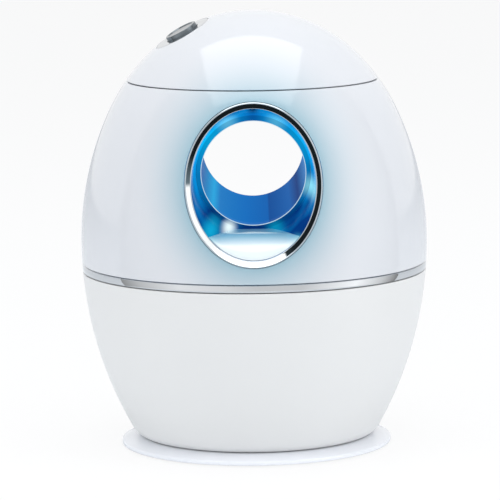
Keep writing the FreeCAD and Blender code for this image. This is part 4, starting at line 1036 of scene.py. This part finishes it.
def sillPoint(across, along):
    # across -1 to 1 over the window, along 0 at the bezel to 1 at the tube
    halfWidth, halfHeight, middle, rim = bowlRing(0, -sill["gap"])
    reach = (middle - sill["level"]) / halfHeight
    side = halfWidth * math.sqrt(1 - reach ** 2)
    x = side * 0.999 * across
    frontZ = middle - halfHeight * math.sqrt(1 - (x / halfWidth) ** 2)
    frontY = rim(x, frontZ)
    backY = max(bowlDepthAt(x, sill["level"]), sill["backDepth"])
    crest = min(max(sill["flatDepth"], backY), frontY)
    if along > 0.5:
        share = (along - 0.5) * 2
        return x, -(crest + (backY - crest) * share), sill["level"]
    share = 1 - along * 2
    fall = (1 - math.sqrt(max(1 - share ** 2, 0))) * 0.75 + share ** 2 * 0.25
    return x, -(crest + (frontY - crest) * share), sill["level"] - (sill["level"] - frontZ) * fall


def makeSill():
    clearSelection()
    bpy.ops.mesh.primitive_grid_add(x_subdivisions=sill["columns"], y_subdivisions=sill["rows"], size=2)
    piece = rename("windowSill")
    for vertex in piece.data.vertices:
        vertex.co = sillPoint(vertex.co.x, (vertex.co.y + 1) / 2)
    bpy.ops.object.mode_set(mode="EDIT")
    bpy.ops.mesh.select_all(action="SELECT")
    bpy.ops.mesh.remove_doubles(threshold=0.005 * mm)
    bpy.ops.mesh.normals_make_consistent(inside=False)
    bpy.ops.object.mode_set(mode="OBJECT")
    if piece.data.polygons[len(piece.data.polygons) // 2].normal.z < 0:
        piece.data.flip_normals()
    applyModifier(piece, "SOLIDIFY", thickness=sill["thickness"], offset=-1)
    smooth(piece, 40)
    finish(piece, sillFinish, "housing", "sill_plastic", "window_sill")


makeBezel()
makeBowl()
makeTube()
makeSill()
print("window is modelled")

# rear ring

rear = {
    "radius": 31 * mm,
    "flare": 28.4 * mm,
    # radius and depth into the egg, in mm, across the ring's outer face
    "face": [(28.6, 0.1), (28.9, -0.3), (29.3, -0.4), (30.5, -0.4), (30.85, -0.25), (31, 0.1)],
    "back": 58 * mm,
    "gap": 0.2 * mm,
}


def makeRearRing():
    centre = tube["height"]
    mouth = tube["rear"] + rear["gap"]
    sleeve = tube["bore"] + tube["wall"] + rear["gap"]

    def circle(radius, depth):
        return (radius, radius, centre, depth)

    rings = [circle(tube["bore"], atDepth(mouth))]
    steps = 6
    for step in range(1, steps + 1):
        share = step / steps
        surface = onEgg(0.8 * mm)
        rings.append(circle(tube["bore"] + (rear["flare"] - tube["bore"]) * share ** 1.4,
                            lambda x, z, share=share: mouth + (surface(x, z) - mouth) * share))
    for radius, inset in rear["face"]:
        rings.append(circle(radius * mm, onEgg(inset * mm)))
    rings += [circle(rear["radius"], atDepth(rear["back"])), circle(sleeve, atDepth(rear["back"])),
              circle(sleeve, atDepth(mouth)), rings[0]]
    piece = stackRings("rearRing", rings, 192, side=1)
    smooth(piece, 35)
    finish(piece, chrome, "housing", "chrome_trim", "rear_ring")


makeRearRing()
print("rear ring is modelled")
